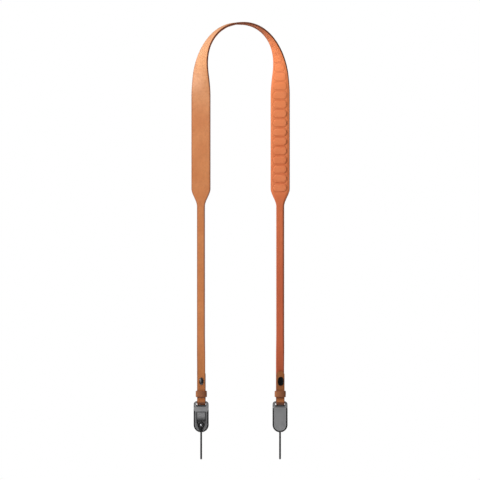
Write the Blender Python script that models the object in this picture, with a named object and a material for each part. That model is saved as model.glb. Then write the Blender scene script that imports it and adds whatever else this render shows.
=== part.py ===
"""Camera neck strap, hanging over a rest in an upside-down U.

A long leather strip with a padded lining turns half way round as it passes over the top. Its narrow
ends fold back through the slots of two connectors. Metres, +Z up, the front towards -Y. The origin is on
the lining, at the middle of the top, where the strap hangs.

Two frames are used. Along the strap a place is (run, across, depth): run is the length along the middle
line from the top, negative to the left; across is the offset towards the front edge; depth is the height
above the surface between lining and leather. At each end a place is (across, depth, rise): across is
along +X, depth is towards the strap's outer face, and rise is the height above the strap's bend.
"""

import math

import bmesh
import bpy
import numpy as np

MM = 0.001

# Clearance between pieces that touch on the real thing
FIT_GAP = 0.3 * MM

# Layers of the strap
LEATHER_THICKNESS = 1.5 * MM
LINING_THICKNESS = 1.0 * MM
PAD_RELIEF = 0.6 * MM

# Outline of the strap, laid flat
SHOULDER_WIDTH = 25.4 * MM
SHOULDER_LENGTH = 475.0 * MM
TAPER_OVERLAP = 5.1 * MM
TAPER_LENGTH = 22.5 * MM
NARROW_WIDTH = 10.2 * MM
NARROW_LENGTH = 245.0 * MM
LINING_END_ABOVE_BEND = 6.4 * MM

# Form in which it hangs: a rounded arch between two straight legs
ARCH_HALF_WIDTH = 49.3 * MM
ARCH_RISE = 66.7 * MM
ARCH_SQUARENESS = 2.18
TWIST_LENGTH = 115.0 * MM
TWIST_EVENNESS = 0.5
LEG_TURN = math.radians(23.5)
STRAIGHTEN_LENGTH = 48.0 * MM

# Pads on the lining
PAD_COUNT = 41
PAD_LENGTH = 9.2 * MM
PAD_WIDTH = 17.6 * MM
PAD_CORNER = 3.1 * MM
PAD_BEVEL = 0.8 * MM

# Fold-back tab, keeper and stud
TAB_LENGTH = 39.6 * MM
TAB_SHIFT = 0.5 * MM
KEEPER_HEIGHT = 7.8 * MM
KEEPER_WALL = 1.25 * MM
KEEPER_ABOVE_BEND = 10.6 * MM
KEEPER_CORNER = 1.3 * MM
KEEPER_INNER_CORNER = 0.2 * MM
STUD_ABOVE_BEND = 26.4 * MM
STUD_POST_RADIUS = 1.5 * MM
DOME_WIDTH = 5.4 * MM
DOME_HEIGHT = 9.5 * MM
DOME_RISE = 2.0 * MM
DOME_RIM = 0.5 * MM
CAP_WIDTH = 7.2 * MM
CAP_HEIGHT = 11.0 * MM
CAP_THICKNESS = 1.3 * MM
CAP_EDGE = 0.45 * MM

# Connector housing
BAR_THICKNESS = 4.0 * MM
BAR_HEIGHT = 2.4 * MM
BAR_TOP_RISE = 1.6 * MM
TOP_PLATE_INSET = 0.1 * MM
SLOT_HEIGHT = 3.8 * MM
SLOT_CORNER = 0.95 * MM
SLOT_SIDE_GAP = 1.65 * MM
SLOT_WALL = 2.65 * MM
SLOPE_LENGTH = 7.0 * MM
CONNECTOR_HEIGHT = 38.9 * MM
CONNECTOR_CORNER = 4.0 * MM
BODY_CORNER = 2.2 * MM
BODY_FRONT_REACH = 5.45 * MM
BODY_BACK_REACH = 3.35 * MM
BACK_WALL = 2.4 * MM
FRONT_BEVEL_WIDTH = 1.9 * MM
FRONT_BEVEL_DEPTH = 1.5 * MM
BACK_BEVEL = 1.4 * MM
BAR_BEVEL = 0.8 * MM

# Anchor, latch plate and the recess that holds them
ANCHOR_DIAMETER = 7.2 * MM
ANCHOR_THICKNESS = 3.8 * MM
ANCHOR_EDGE = 0.65 * MM
ANCHOR_FLOOR_GAP = 0.4 * MM
ANCHOR_ABOVE_FOOT = 9.3 * MM
RIVET_DIAMETER = 3.2 * MM
RIVET_RIM = 0.2 * MM
RIVET_RISE = 1.0 * MM
LATCH_SIDE_REACH = 1.4 * MM
LATCH_THICKNESS = 1.3 * MM
LATCH_EDGE = 0.2 * MM
LATCH_ANCHOR_GAP = 0.95 * MM
NECK_SIDE_GAP = 0.65 * MM

# The latch plate's side view, as (share of its length, drop of the front, drop of the back)
LATCH_PROFILE = (
    (0.0, 0.0 * MM, 0.0 * MM),
    (0.7, 0.0 * MM, 0.0 * MM),
    (0.88, 0.45 * MM, 0.45 * MM),
    (1.0, 1.3 * MM, 1.05 * MM),
)

# Heights of the recess's corners, as shares of the anchor's radius above its middle
RECESS_WIDE_SHARE = 0.97
RECESS_KNEE_SHARE = -0.79
RECESS_NECK_SHARE = -1.67

# Cord loop: the chosen half route, as (offset from the loop's middle, drop below the anchor)
CORD_DIAMETER = 2.2 * MM
CORD_POINT_SPACING = 2.4 * MM
CORD_HALF_ROUTE = (
    (1.25 * MM, 0.35 * MM),
    (1.25 * MM, 3.0 * MM),
    (1.32 * MM, 6.2 * MM),
    (1.9 * MM, 10.0 * MM),
    (3.0 * MM, 14.5 * MM),
    (4.3 * MM, 19.5 * MM),
    (5.4 * MM, 25.0 * MM),
    (5.9 * MM, 30.0 * MM),
    (5.2 * MM, 34.2 * MM),
    (3.1 * MM, 37.3 * MM),
    (0.0 * MM, 38.5 * MM),
)

# Fineness of the faceted solids
ARCH_SAMPLES = 4001
STRAP_COLUMNS = 4
TAPER_STEPS = 9
NARROW_STEP = 12.0 * MM
BEND_STEPS = 12
TIP_STEPS = 6
CORNER_STEPS = 5
FOOT_STEPS = 18
OVAL_POINTS = 28
RIVET_POINTS = 20
SPREAD_STEPS = 6
ROUTE_SAMPLES = 24
TIP_ANGLE = math.radians(80.0)
DOME_ANGLES = (20.0, 40.0, 60.0, 78.0)
RIVET_ANGLES = (0.0, 25.0, 50.0, 75.0)
SMOOTH_ANGLE = math.radians(35.0)
EDGE_ANGLE = math.radians(50.0)

SIDES = (("left", -1.0), ("right", 1.0))

# Sizes that follow from those above
HALF_GAP = FIT_GAP / 2
LEATHER_MID = HALF_GAP + LEATHER_THICKNESS / 2
LEATHER_TOP = HALF_GAP + LEATHER_THICKNESS
LINING_FACE = -HALF_GAP - LINING_THICKNESS
TAB_TOP = LINING_FACE - FIT_GAP
TAB_MID = TAB_TOP - LEATHER_THICKNESS / 2
TAB_BACK = TAB_TOP - LEATHER_THICKNESS
BAR_MID = (LEATHER_MID + TAB_MID) / 2
BEND_RADIUS = BAR_THICKNESS / 2 + FIT_GAP + LEATHER_THICKNESS / 2
ARCH_TOP = PAD_RELIEF - LINING_FACE
ARCH_FOOT = ARCH_TOP - ARCH_RISE
SHOULDER_END = SHOULDER_LENGTH / 2
TAPER_START = SHOULDER_END - TAPER_OVERLAP
TAPER_END = TAPER_START + TAPER_LENGTH
BEND_RUN = TAPER_END + NARROW_LENGTH
LINING_END = BEND_RUN - LINING_END_ABOVE_BEND
STRAIGHT_FROM = BEND_RUN - TAB_LENGTH - FIT_GAP
BAR_FOOT_RISE = BAR_TOP_RISE - BAR_HEIGHT
BEND_RISE = (BAR_TOP_RISE + BAR_FOOT_RISE) / 2
SLOT_FOOT_RISE = BAR_FOOT_RISE - SLOT_HEIGHT
WINDOW_RISE = SLOT_FOOT_RISE - SLOPE_LENGTH
FOOT_RISE = BAR_TOP_RISE - CONNECTOR_HEIGHT
SLOT_WIDTH = NARROW_WIDTH + 2 * SLOT_SIDE_GAP
CONNECTOR_WIDTH = SLOT_WIDTH + 2 * SLOT_WALL
BODY_FRONT = BAR_MID + BODY_FRONT_REACH
BODY_BACK = BAR_MID - BODY_BACK_REACH
RECESS_FLOOR = BODY_BACK + BACK_WALL
ANCHOR_RADIUS = ANCHOR_DIAMETER / 2
ANCHOR_RISE = FOOT_RISE + ANCHOR_ABOVE_FOOT
ANCHOR_BACK = RECESS_FLOOR + ANCHOR_FLOOR_GAP
ANCHOR_FRONT = ANCHOR_BACK + ANCHOR_THICKNESS
LATCH_HALF_WIDTH = ANCHOR_RADIUS + LATCH_SIDE_REACH
WINDOW_HALF_WIDTH = LATCH_HALF_WIDTH + FIT_GAP
NECK_HALF_WIDTH = CORD_DIAMETER / 2 + NECK_SIDE_GAP
LATCH_TOP_RISE = WINDOW_RISE - FIT_GAP
LATCH_FOOT_RISE = ANCHOR_RISE + ANCHOR_RADIUS + LATCH_ANCHOR_GAP
CORD_LEG_GAP = (CORD_DIAMETER + FIT_GAP) / 2
CORD_MIDDLE = RECESS_FLOOR + FIT_GAP + CORD_DIAMETER / 2 + CORD_LEG_GAP
STUD_HOLE_RADIUS = STUD_POST_RADIUS + FIT_GAP


def clear_scene():
    """Removes what a new file holds."""
    for thing in list(bpy.data.objects):
        bpy.data.objects.remove(thing, do_unlink=True)


def finish(name, colour, roughness, metallic=0.0):
    """Makes a plain material with one colour."""
    material = bpy.data.materials.new(name)
    material.use_nodes = True
    shader = material.node_tree.nodes["Principled BSDF"]
    shader.inputs["Base Color"].default_value = (*colour, 1.0)
    shader.inputs["Roughness"].default_value = roughness
    shader.inputs["Metallic"].default_value = metallic
    return material


def solid(name, points, faces, material, smooth=False, pivot=(0.0, 0.0, 0.0)):
    """Makes a closed object from points and faces, with its faces turned outwards."""
    mesh = bpy.data.meshes.new(name)
    shifted = [tuple(np.subtract(point, pivot)) for point in points]
    mesh.from_pydata(shifted, [], faces)
    work = bmesh.new()
    work.from_mesh(mesh)
    bmesh.ops.recalc_face_normals(work, faces=work.faces)
    work.to_mesh(mesh)
    work.free()
    mesh.materials.append(material)
    if smooth:
        mesh.shade_smooth()
        mesh.set_sharp_from_angle(angle=SMOOTH_ANGLE)
    item = bpy.data.objects.new(name, mesh)
    item.location = pivot
    bpy.context.scene.collection.objects.link(item)
    return item


def as_cutter(item):
    """Marks an object as a guide that is not part of the model."""
    item.hide_render = True
    item.display_type = "WIRE"
    return item


def combine(item, other, operation):
    """Adds a Boolean of another object, which becomes a guide."""
    as_cutter(other)
    modifier = item.modifiers.new(other.name, "BOOLEAN")
    modifier.operation = operation
    modifier.solver = "EXACT"
    modifier.object = other


def loft_faces(rings, points_in_ring):
    """Faces of a closed body through rings of equally many points, with flat ends."""
    faces = []
    for ring in range(rings - 1):
        for index in range(points_in_ring):
            following = (index + 1) % points_in_ring
            low = ring * points_in_ring
            high = low + points_in_ring
            faces.append((low + index, low + following, high + following, high + index))
    faces.append(tuple(range(points_in_ring)))
    faces.append(tuple(range((rings - 1) * points_in_ring, rings * points_in_ring)))
    return faces


def loft(name, rings, material, smooth=False):
    """Makes a closed body through rings of equally many points."""
    points = [point for ring in rings for point in ring]
    return solid(name, points, loft_faces(len(rings), len(rings[0])), material, smooth)


def ease(share):
    """Goes from 0 to 1 with level ends."""
    share = np.clip(share, 0.0, 1.0)
    return share * share * (3.0 - 2.0 * share)


def arch_table():
    """Tabulates the left half of the arch: its angle against the length from its foot."""
    angle = np.linspace(0.0, math.pi / 2, ARCH_SAMPLES)
    across, rise = arch_point(angle)
    steps = np.hypot(np.diff(across), np.diff(rise))
    return angle, np.concatenate([[0.0], np.cumsum(steps)])


def arch_point(angle):
    """Point of the left half of the arch, a squarish ellipse, at an angle from its foot."""
    power = 2.0 / ARCH_SQUARENESS
    across = -ARCH_HALF_WIDTH * np.cos(angle) ** power
    rise = ARCH_FOOT + ARCH_RISE * np.sin(angle) ** power
    return across, rise


ARCH_ANGLE, ARCH_LENGTH = arch_table()
HALF_ARCH = float(ARCH_LENGTH[-1])
BEND_HEIGHT = ARCH_FOOT - (BEND_RUN - HALF_ARCH)


def twist_share(from_top):
    """Share of the twist that is done at a length from the top: partly even, partly eased."""
    share = np.clip(from_top / TWIST_LENGTH, 0.0, 1.0)
    return TWIST_EVENNESS * share + (1.0 - TWIST_EVENNESS) * ease(share * share)


def frames(run):
    """Places and directions along the strap's middle line.

    Returns the points, the directions towards the front edge and the directions out of the leather.
    Both halves are worked out as the left one and then turned over: the angle between the strap's width
    and the plane of the arch goes from a small turn on a leg to a right angle at the top.
    """
    run = np.asarray(run, dtype=float)
    side = np.where(run < 0.0, 1.0, -1.0)
    from_top = np.abs(run)
    from_foot = np.clip(HALF_ARCH - from_top, 0.0, HALF_ARCH)
    angle = np.interp(from_foot, ARCH_LENGTH, ARCH_ANGLE)
    across, rise = arch_point(angle)
    rise = rise - np.maximum(from_top - HALF_ARCH, 0.0)
    outward_x = (np.abs(across) / ARCH_HALF_WIDTH) ** (ARCH_SQUARENESS - 1.0) / ARCH_HALF_WIDTH
    outward_z = np.maximum((rise - ARCH_FOOT) / ARCH_RISE, 0.0) ** (ARCH_SQUARENESS - 1.0) / ARCH_RISE
    length = np.hypot(outward_x, outward_z)
    along_x = outward_z / length
    along_z = side * outward_x / length
    inward = np.stack([along_z, np.zeros_like(run), -along_x], axis=-1)
    along = np.stack([along_x, np.zeros_like(run), along_z], axis=-1)
    turn = math.pi / 2 - (math.pi / 2 - LEG_TURN) * twist_share(from_top)
    turn = turn - LEG_TURN * ease((from_top - STRAIGHT_FROM + STRAIGHTEN_LENGTH) / STRAIGHTEN_LENGTH)
    turn = np.where(run < 0.0, turn, math.pi - turn)
    front = inward * np.cos(turn)[..., None]
    front[..., 1] -= np.sin(turn)
    outward = np.cross(front, along)
    points = np.stack([side * across, np.zeros_like(run), rise], axis=-1)
    return points, front, outward


def half_width(run):
    """Half the strap's width: full on the shoulder, eased down to the narrow ends."""
    share = ease((np.abs(run) - TAPER_START) / TAPER_LENGTH)
    return (SHOULDER_WIDTH + (NARROW_WIDTH - SHOULDER_WIDTH) * share) / 2


def on_strap(run, across, depth):
    """One place on the strap, as a point."""
    points, front, outward = frames(np.array([run]))
    return points[0] + front[0] * across + outward[0] * depth


def at_end(side, across, depth, rise):
    """One place at a strap end, as a point."""
    return (side * ARCH_HALF_WIDTH + across, side * depth, BEND_HEIGHT + rise)


def half_cells():
    """Runs of the pads' middles and of the grooves between them."""
    count = 2 * PAD_COUNT
    return [-SHOULDER_END + SHOULDER_LENGTH * index / count for index in range(count + 1)]


def tail_rows(last):
    """Runs from the shoulder's end to a given run, on one side."""
    left = TAPER_END - SHOULDER_END
    taper = [SHOULDER_END + left * (index + 1) / TAPER_STEPS for index in range(TAPER_STEPS)]
    count = math.ceil((last - TAPER_END) / NARROW_STEP)
    narrow = [TAPER_END + (last - TAPER_END) * (index + 1) / count for index in range(count)]
    return taper + narrow


def both_tails(last):
    """Runs of all rows from one end to the other, with the shoulder's rows between."""
    tail = tail_rows(last)
    return [-run for run in reversed(tail)] + half_cells() + tail


def end_route():
    """Middle line of the leather from its straight part, round the bar and up to the tab's tip.

    Returns (depth, rise, half width, shift) rows for one end.
    """
    high = BAR_TOP_RISE + BEND_RADIUS
    level = BEND_RISE
    half = NARROW_WIDTH / 2
    rows = []
    for index in range(1, SPREAD_STEPS + 1):
        share = index / SPREAD_STEPS
        depth = LEATHER_MID + (BAR_MID + BEND_RADIUS - LEATHER_MID) * float(ease(share))
        rows.append((depth, high + (BAR_TOP_RISE - high) * share, half, 0.0))
    for index in range(BEND_STEPS + 1):
        angle = math.pi * index / BEND_STEPS
        depth = BAR_MID + BEND_RADIUS * math.cos(angle)
        shift = TAB_SHIFT * index / BEND_STEPS
        rows.append((depth, level - BEND_RADIUS * math.sin(angle), half, shift))
    for index in range(SPREAD_STEPS + 1):
        share = index / SPREAD_STEPS
        depth = BAR_MID - BEND_RADIUS + (TAB_MID - BAR_MID + BEND_RADIUS) * float(ease(share))
        rows.append((depth, BAR_TOP_RISE + (high - BAR_TOP_RISE) * share, half, TAB_SHIFT))
    shoulder_rise = TAB_LENGTH - half
    rows.append((TAB_MID, (high + shoulder_rise) / 2, half, TAB_SHIFT))
    for index in range(TIP_STEPS + 1):
        angle = TIP_ANGLE * index / TIP_STEPS
        rise = shoulder_rise + half * math.sin(angle)
        rows.append((TAB_MID, rise, half * math.cos(angle), TAB_SHIFT))
    return rows, high


def leather_rows():
    """Middle points, front directions, half widths and shifts along the whole leather strip."""
    end, high = end_route()
    runs = np.array(both_tails(BEND_RUN - high))
    points, front, outward = frames(runs)
    middle = points + outward * LEATHER_MID
    widths = half_width(runs)
    ends = {}
    for name, side in SIDES:
        ends[name] = np.array([at_end(side, 0.0, depth, rise) for depth, rise, _, _ in end])
    end_widths = np.array([row[2] for row in end])
    end_shifts = np.array([row[3] for row in end])
    level = np.tile([1.0, 0.0, 0.0], (len(end), 1))
    middle = np.concatenate([ends["left"][::-1], middle, ends["right"]])
    front = np.concatenate([level, front, level])
    widths = np.concatenate([end_widths[::-1], widths, end_widths])
    shifts = np.concatenate([end_shifts[::-1], np.zeros(len(runs)), end_shifts])
    return middle, front, widths, shifts


def strip_points(middle, front, widths, shifts):
    """Points of the strip, as rows of a ring: the outer face one way and the inner face back."""
    along = np.gradient(middle, axis=0)
    outward = np.cross(front, along)
    outward /= np.linalg.norm(outward, axis=1)[:, None]
    columns = np.linspace(-1.0, 1.0, STRAP_COLUMNS + 1)
    across = shifts[:, None] + widths[:, None] * columns[None, :]
    face = middle[:, None, :] + front[:, None, :] * across[..., None]
    lift = outward[:, None, :] * LEATHER_THICKNESS / 2
    return np.concatenate([face + lift, (face - lift)[:, ::-1]], axis=1)


def stud_hole(name, side):
    """Cutter for the stud's post, straight through one end of the strap."""
    rings = []
    for depth in (LEATHER_TOP + LEATHER_THICKNESS, TAB_BACK - LEATHER_THICKNESS):
        rings.append(oval(side, STUD_HOLE_RADIUS, STUD_HOLE_RADIUS, depth, TAB_SHIFT / 2, STUD_ABOVE_BEND))
    return loft(name, rings, None)


def make_leather(material):
    """Outer leather in one length, from tab tip to tab tip."""
    rows = strip_points(*leather_rows())
    strap = loft("strap_leather", [[tuple(point) for point in row] for row in rows], material)
    for name, side in SIDES:
        combine(strap, stud_hole("leather_hole_" + name, side), "DIFFERENCE")


def pad_ring(half_across, half_along, corner):
    """Twelve (across, along) places round a pad with cut corners."""
    inner_across = half_across - corner
    inner_along = half_along - corner
    return (
        (-half_across, inner_along),
        (-inner_across, half_along),
        (0.0, half_along),
        (inner_across, half_along),
        (half_across, inner_along),
        (half_across, 0.0),
        (half_across, -inner_along),
        (inner_across, -half_along),
        (0.0, -half_along),
        (-inner_across, -half_along),
        (-half_across, -inner_along),
        (-half_across, 0.0),
    )


def add_pad(points, faces, centre, border):
    """Adds one raised pad inside a cell of the lining, whose twelve border points are given."""
    half_across = PAD_WIDTH / 2
    half_along = PAD_LENGTH / 2
    foot = len(points)
    for across, along in pad_ring(half_across, half_along, PAD_CORNER):
        points.append(on_strap(centre + along, across, LINING_FACE))
    top = len(points)
    corner = PAD_CORNER - PAD_BEVEL * (2.0 - math.sqrt(2.0))
    for across, along in pad_ring(half_across - PAD_BEVEL, half_along - PAD_BEVEL, corner):
        points.append(on_strap(centre + along, across, LINING_FACE - PAD_RELIEF))
    middle = len(points)
    points.append(on_strap(centre, 0.0, LINING_FACE - PAD_RELIEF))
    count = len(border)
    for index in range(count):
        following = (index + 1) % count
        faces.append((border[index], border[following], foot + following, foot + index))
        faces.append((foot + index, foot + following, top + following, top + index))
        faces.append((top + index, top + following, middle))


def make_lining(material):
    """Inner lining with raised pads on the shoulder part."""
    runs = both_tails(LINING_END)
    first_cell = len(tail_rows(LINING_END))
    columns = np.linspace(-1.0, 1.0, STRAP_COLUMNS + 1)
    width = STRAP_COLUMNS + 1
    rows = np.array(runs)
    centres, front, outward = frames(rows)
    across = half_width(rows)[:, None] * columns[None, :]
    sheet = centres[:, None, :] + front[:, None, :] * across[..., None]
    back = sheet - outward[:, None, :] * HALF_GAP
    face = sheet + outward[:, None, :] * LINING_FACE
    points = [tuple(point) for point in back.reshape(-1, 3)] + [tuple(point) for point in face.reshape(-1, 3)]
    offset = len(runs) * width
    used = set()
    faces = []
    for row in range(len(runs) - 1):
        low = row * width
        high = low + width
        in_shoulder = first_cell <= row < first_cell + 2 * PAD_COUNT
        for column in range(STRAP_COLUMNS):
            faces.append((low + column, low + column + 1, high + column + 1, high + column))
            if not in_shoulder:
                faces.append(tuple(offset + place for place in (
                    low + column, low + column + 1, high + column + 1, high + column)))
        for edge in (low, low + STRAP_COLUMNS):
            faces.append((edge, edge + width, offset + edge + width, offset + edge))
    for edge_row in (0, len(runs) - 1):
        low = edge_row * width
        for column in range(STRAP_COLUMNS):
            faces.append((low + column, low + column + 1, offset + low + column + 1, offset + low + column))
    for pad in range(PAD_COUNT):
        start = first_cell + 2 * pad
        border = cell_border(offset, width, start)
        used.update(offset + (start + 1) * width + column for column in range(1, STRAP_COLUMNS))
        add_pad(points, faces, runs[start + 1], border)
    points, faces = without(points, faces, used)
    lining = solid("strap_lining", points, faces, material)
    for name, side in SIDES:
        combine(lining, stud_hole("lining_hole_" + name, side), "DIFFERENCE")


def cell_border(offset, width, start):
    """Indices of the points round a pad's cell, in the order of the pad's own ring."""
    near = offset + start * width
    middle = near + width
    far = middle + width
    last = width - 1
    return (
        far, far + 1, far + 2, far + 3, far + last,
        middle + last,
        near + last, near + 3, near + 2, near + 1, near,
        middle,
    )


def without(points, faces, dropped):
    """Leaves out points that no face uses and renumbers the faces."""
    kept = [index for index in range(len(points)) if index not in dropped]
    number = {old: new for new, old in enumerate(kept)}
    return [points[index] for index in kept], [tuple(number[place] for place in face) for face in faces]


def oval(side, half_across, half_rise, depth, shift, rise, count=OVAL_POINTS):
    """Ring of points round an oval that faces outwards at one end."""
    ring = []
    for index in range(count):
        angle = 2.0 * math.pi * index / count
        across = shift + half_across * math.cos(angle)
        ring.append(at_end(side, across, depth, rise + half_rise * math.sin(angle)))
    return ring


def rounded_box(half_across, low_depth, high_depth, shift, corner):
    """(across, depth) places round a box with rounded corners."""
    places = []
    corners = (
        (half_across - corner, high_depth - corner),
        (corner - half_across, high_depth - corner),
        (corner - half_across, low_depth + corner),
        (half_across - corner, low_depth + corner),
    )
    for quarter, (across, depth) in enumerate(corners):
        for step in range(CORNER_STEPS):
            angle = math.pi / 2 * (quarter + step / (CORNER_STEPS - 1))
            places.append((shift + across + corner * math.cos(angle), depth + corner * math.sin(angle)))
    return places


def make_keeper(name, side, material):
    """Leather loop that holds strap and tab together."""
    half_inside = NARROW_WIDTH / 2 + TAB_SHIFT / 2 + FIT_GAP
    low = TAB_BACK - FIT_GAP
    high = LEATHER_TOP + FIT_GAP
    shift = TAB_SHIFT / 2
    inside = rounded_box(half_inside, low, high, shift, KEEPER_INNER_CORNER)
    half_outside = half_inside + KEEPER_WALL
    outside = rounded_box(half_outside, low - KEEPER_WALL, high + KEEPER_WALL, shift, KEEPER_CORNER)
    heights = (KEEPER_ABOVE_BEND - KEEPER_HEIGHT / 2, KEEPER_ABOVE_BEND + KEEPER_HEIGHT / 2)
    points = []
    for outline in (outside, inside):
        for rise in heights:
            points.extend(at_end(side, across, depth, rise) for across, depth in outline)
    count = len(outside)
    faces = []
    for index in range(count):
        following = (index + 1) % count
        for low_ring, high_ring in ((0, 1), (2, 3), (0, 2), (1, 3)):
            low_start = low_ring * count
            high_start = high_ring * count
            faces.append((low_start + index, low_start + following,
                          high_start + following, high_start + index))
    solid("keeper_" + name, points, faces, material)


def make_stud(name, side, dome_material, cap_material):
    """Domed stud with its post, and the flat cap on the tab."""
    seat = LEATHER_TOP + FIT_GAP
    cap_face = TAB_BACK - FIT_GAP
    shift = TAB_SHIFT / 2
    rise = STUD_ABOVE_BEND
    post = STUD_POST_RADIUS
    rings = [
        oval(side, post, post, cap_face + FIT_GAP, shift, rise),
        oval(side, post, post, seat, shift, rise),
        oval(side, DOME_WIDTH / 2, DOME_HEIGHT / 2, seat, shift, rise),
        oval(side, DOME_WIDTH / 2, DOME_HEIGHT / 2, seat + DOME_RIM, shift, rise),
    ]
    for angle in DOME_ANGLES:
        shrink = math.cos(math.radians(angle))
        depth = seat + DOME_RIM + (DOME_RISE - DOME_RIM) * math.sin(math.radians(angle))
        rings.append(oval(side, shrink * DOME_WIDTH / 2, shrink * DOME_HEIGHT / 2, depth, shift, rise))
    loft("stud_dome_" + name, rings, dome_material, smooth=True)
    far = cap_face - CAP_THICKNESS
    cap_rings = [
        oval(side, CAP_WIDTH / 2, CAP_HEIGHT / 2, cap_face, shift, rise),
        oval(side, CAP_WIDTH / 2, CAP_HEIGHT / 2, far + CAP_EDGE, shift, rise),
        oval(side, CAP_WIDTH / 2 - CAP_EDGE, CAP_HEIGHT / 2 - CAP_EDGE, far, shift, rise),
    ]
    loft("stud_cap_" + name, cap_rings, cap_material, smooth=True)


def connector_outline(inset, top_rise, shoulder):
    """(across, rise) places round the connector: rounded shoulders above, a half circle below."""
    half = CONNECTOR_WIDTH / 2 - inset
    corner = shoulder - inset
    top = top_rise - inset
    centre = FOOT_RISE + CONNECTOR_WIDTH / 2
    places = []
    for quarter, sign in enumerate((1.0, -1.0)):
        for step in range(CORNER_STEPS):
            angle = math.pi / 2 * (quarter + step / (CORNER_STEPS - 1))
            across = sign * (half - corner) + corner * math.cos(angle)
            places.append((across, top - corner + corner * math.sin(angle)))
    for step in range(FOOT_STEPS + 1):
        angle = math.pi * (1.0 + step / FOOT_STEPS)
        places.append((half * math.cos(angle), centre + half * math.sin(angle)))
    return places


def bevelled_plate(name, side, levels, top_rise, shoulder, material):
    """Closed plate with the connector's outline, as (depth, inset) levels from back to front."""
    rings = []
    for depth, inset in levels:
        outline = connector_outline(inset, top_rise, shoulder)
        rings.append([at_end(side, across, depth, rise) for across, rise in outline])
    return loft(name, rings, material, smooth=True)


def through_across(name, side, half_across, profile):
    """Cutter that runs along the strap's width, from a closed (depth, rise) profile."""
    rings = []
    for across in (-half_across, half_across):
        rings.append([at_end(side, across, depth, rise) for depth, rise in profile])
    return loft(name, rings, None)


def through_depth(name, side, low_depth, high_depth, outline):
    """Cutter that runs from front to back, from a closed (across, rise) outline."""
    rings = []
    for depth in (low_depth, high_depth):
        rings.append([at_end(side, across, depth, rise) for across, rise in outline])
    return loft(name, rings, None)


def strap_slot(name, side):
    """Cutter for the strap's slot, which flares towards both faces so that the bar's edges are eased."""
    back = BAR_MID - BAR_THICKNESS / 2
    front = BAR_MID + BAR_THICKNESS / 2
    beyond = CONNECTOR_WIDTH
    rings = []
    for depth, flare in (
        (back - beyond, BAR_BEVEL),
        (back, BAR_BEVEL),
        (back + BAR_BEVEL, 0.0),
        (front - BAR_BEVEL, 0.0),
        (front, BAR_BEVEL),
        (front + beyond, BAR_BEVEL),
    ):
        low = SLOT_FOOT_RISE - flare
        high = BAR_FOOT_RISE + flare
        outline = rounded_box(SLOT_WIDTH / 2 + flare, low, high, 0.0, SLOT_CORNER)
        rings.append([at_end(side, across, depth, rise) for across, rise in outline])
    return loft("strap_slot_" + name, rings, None)


def recess_outline():
    """Closed outline of the window, the recess below it and the neck for the cord."""
    wide_rise = ANCHOR_RISE + RECESS_WIDE_SHARE * ANCHOR_RADIUS
    knee_rise = ANCHOR_RISE + RECESS_KNEE_SHARE * ANCHOR_RADIUS
    neck_rise = ANCHOR_RISE + RECESS_NECK_SHARE * ANCHOR_RADIUS
    below = FOOT_RISE - FIT_GAP - ANCHOR_RADIUS
    right = (
        (WINDOW_HALF_WIDTH, WINDOW_RISE),
        (WINDOW_HALF_WIDTH, wide_rise),
        (ANCHOR_RADIUS, knee_rise),
        (NECK_HALF_WIDTH, neck_rise),
        (NECK_HALF_WIDTH, below),
    )
    return list(right) + [(-across, rise) for across, rise in reversed(right)]


def make_housing(name, side, material):
    """Connector housing: a thin slotted top on a thick body with a sloped front and a recess."""
    beyond = CONNECTOR_WIDTH
    body_top = SLOT_FOOT_RISE - FIT_GAP
    plate_back = BAR_MID - BAR_THICKNESS / 2
    plate_front = BAR_MID + BAR_THICKNESS / 2
    plate_levels = (
        (plate_back, BAR_BEVEL),
        (plate_back + BAR_BEVEL, TOP_PLATE_INSET),
        (plate_front - BAR_BEVEL, TOP_PLATE_INSET),
        (plate_front, BAR_BEVEL),
    )
    body_levels = (
        (BODY_BACK, BACK_BEVEL),
        (BODY_BACK + BACK_BEVEL, 0.0),
        (BODY_FRONT - FRONT_BEVEL_DEPTH, 0.0),
        (BODY_FRONT, FRONT_BEVEL_WIDTH),
    )
    body_name = "connector_housing_" + name
    plate_name = "slotted_top_" + name
    housing = bevelled_plate(body_name, side, body_levels, body_top, BODY_CORNER, material)
    plate = bevelled_plate(plate_name, side, plate_levels, BAR_TOP_RISE, CONNECTOR_CORNER, material)
    combine(housing, plate, "UNION")
    slope = (
        (plate_front, body_top + FIT_GAP),
        (BODY_FRONT, WINDOW_RISE),
        (BODY_FRONT + beyond, WINDOW_RISE),
        (BODY_FRONT + beyond, body_top + beyond),
        (plate_front, body_top + beyond),
    )
    combine(housing, through_across("front_slope_" + name, side, beyond, slope), "DIFFERENCE")
    combine(housing, strap_slot(name, side), "DIFFERENCE")
    recess = through_depth("recess_" + name, side, RECESS_FLOOR, BODY_FRONT + beyond, recess_outline())
    combine(housing, recess, "DIFFERENCE")


def make_latch(name, side, material):
    """Sprung latch plate, whose origin is on the line that it swings about."""
    front = BODY_FRONT
    back = BODY_FRONT - LATCH_THICKNESS
    length = LATCH_TOP_RISE - LATCH_FOOT_RISE
    face = [(front - drop, LATCH_TOP_RISE - share * length) for share, drop, _ in LATCH_PROFILE]
    rear = [(back - drop, LATCH_TOP_RISE - share * length) for share, _, drop in LATCH_PROFILE]
    profile = face + rear[::-1]
    points = []
    for across in (-LATCH_HALF_WIDTH, LATCH_HALF_WIDTH):
        points.extend(at_end(side, across, depth, rise) for depth, rise in profile)
    pivot = at_end(side, 0.0, (front + back) / 2, LATCH_TOP_RISE - LATCH_THICKNESS / 2)
    plate = solid("latch_plate_" + name, points, loft_faces(2, len(profile)), material, pivot=pivot)
    edge = plate.modifiers.new("soft_edges", "BEVEL")
    edge.width = LATCH_EDGE
    edge.segments = 1
    edge.limit_method = "ANGLE"
    edge.angle_limit = EDGE_ANGLE


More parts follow.
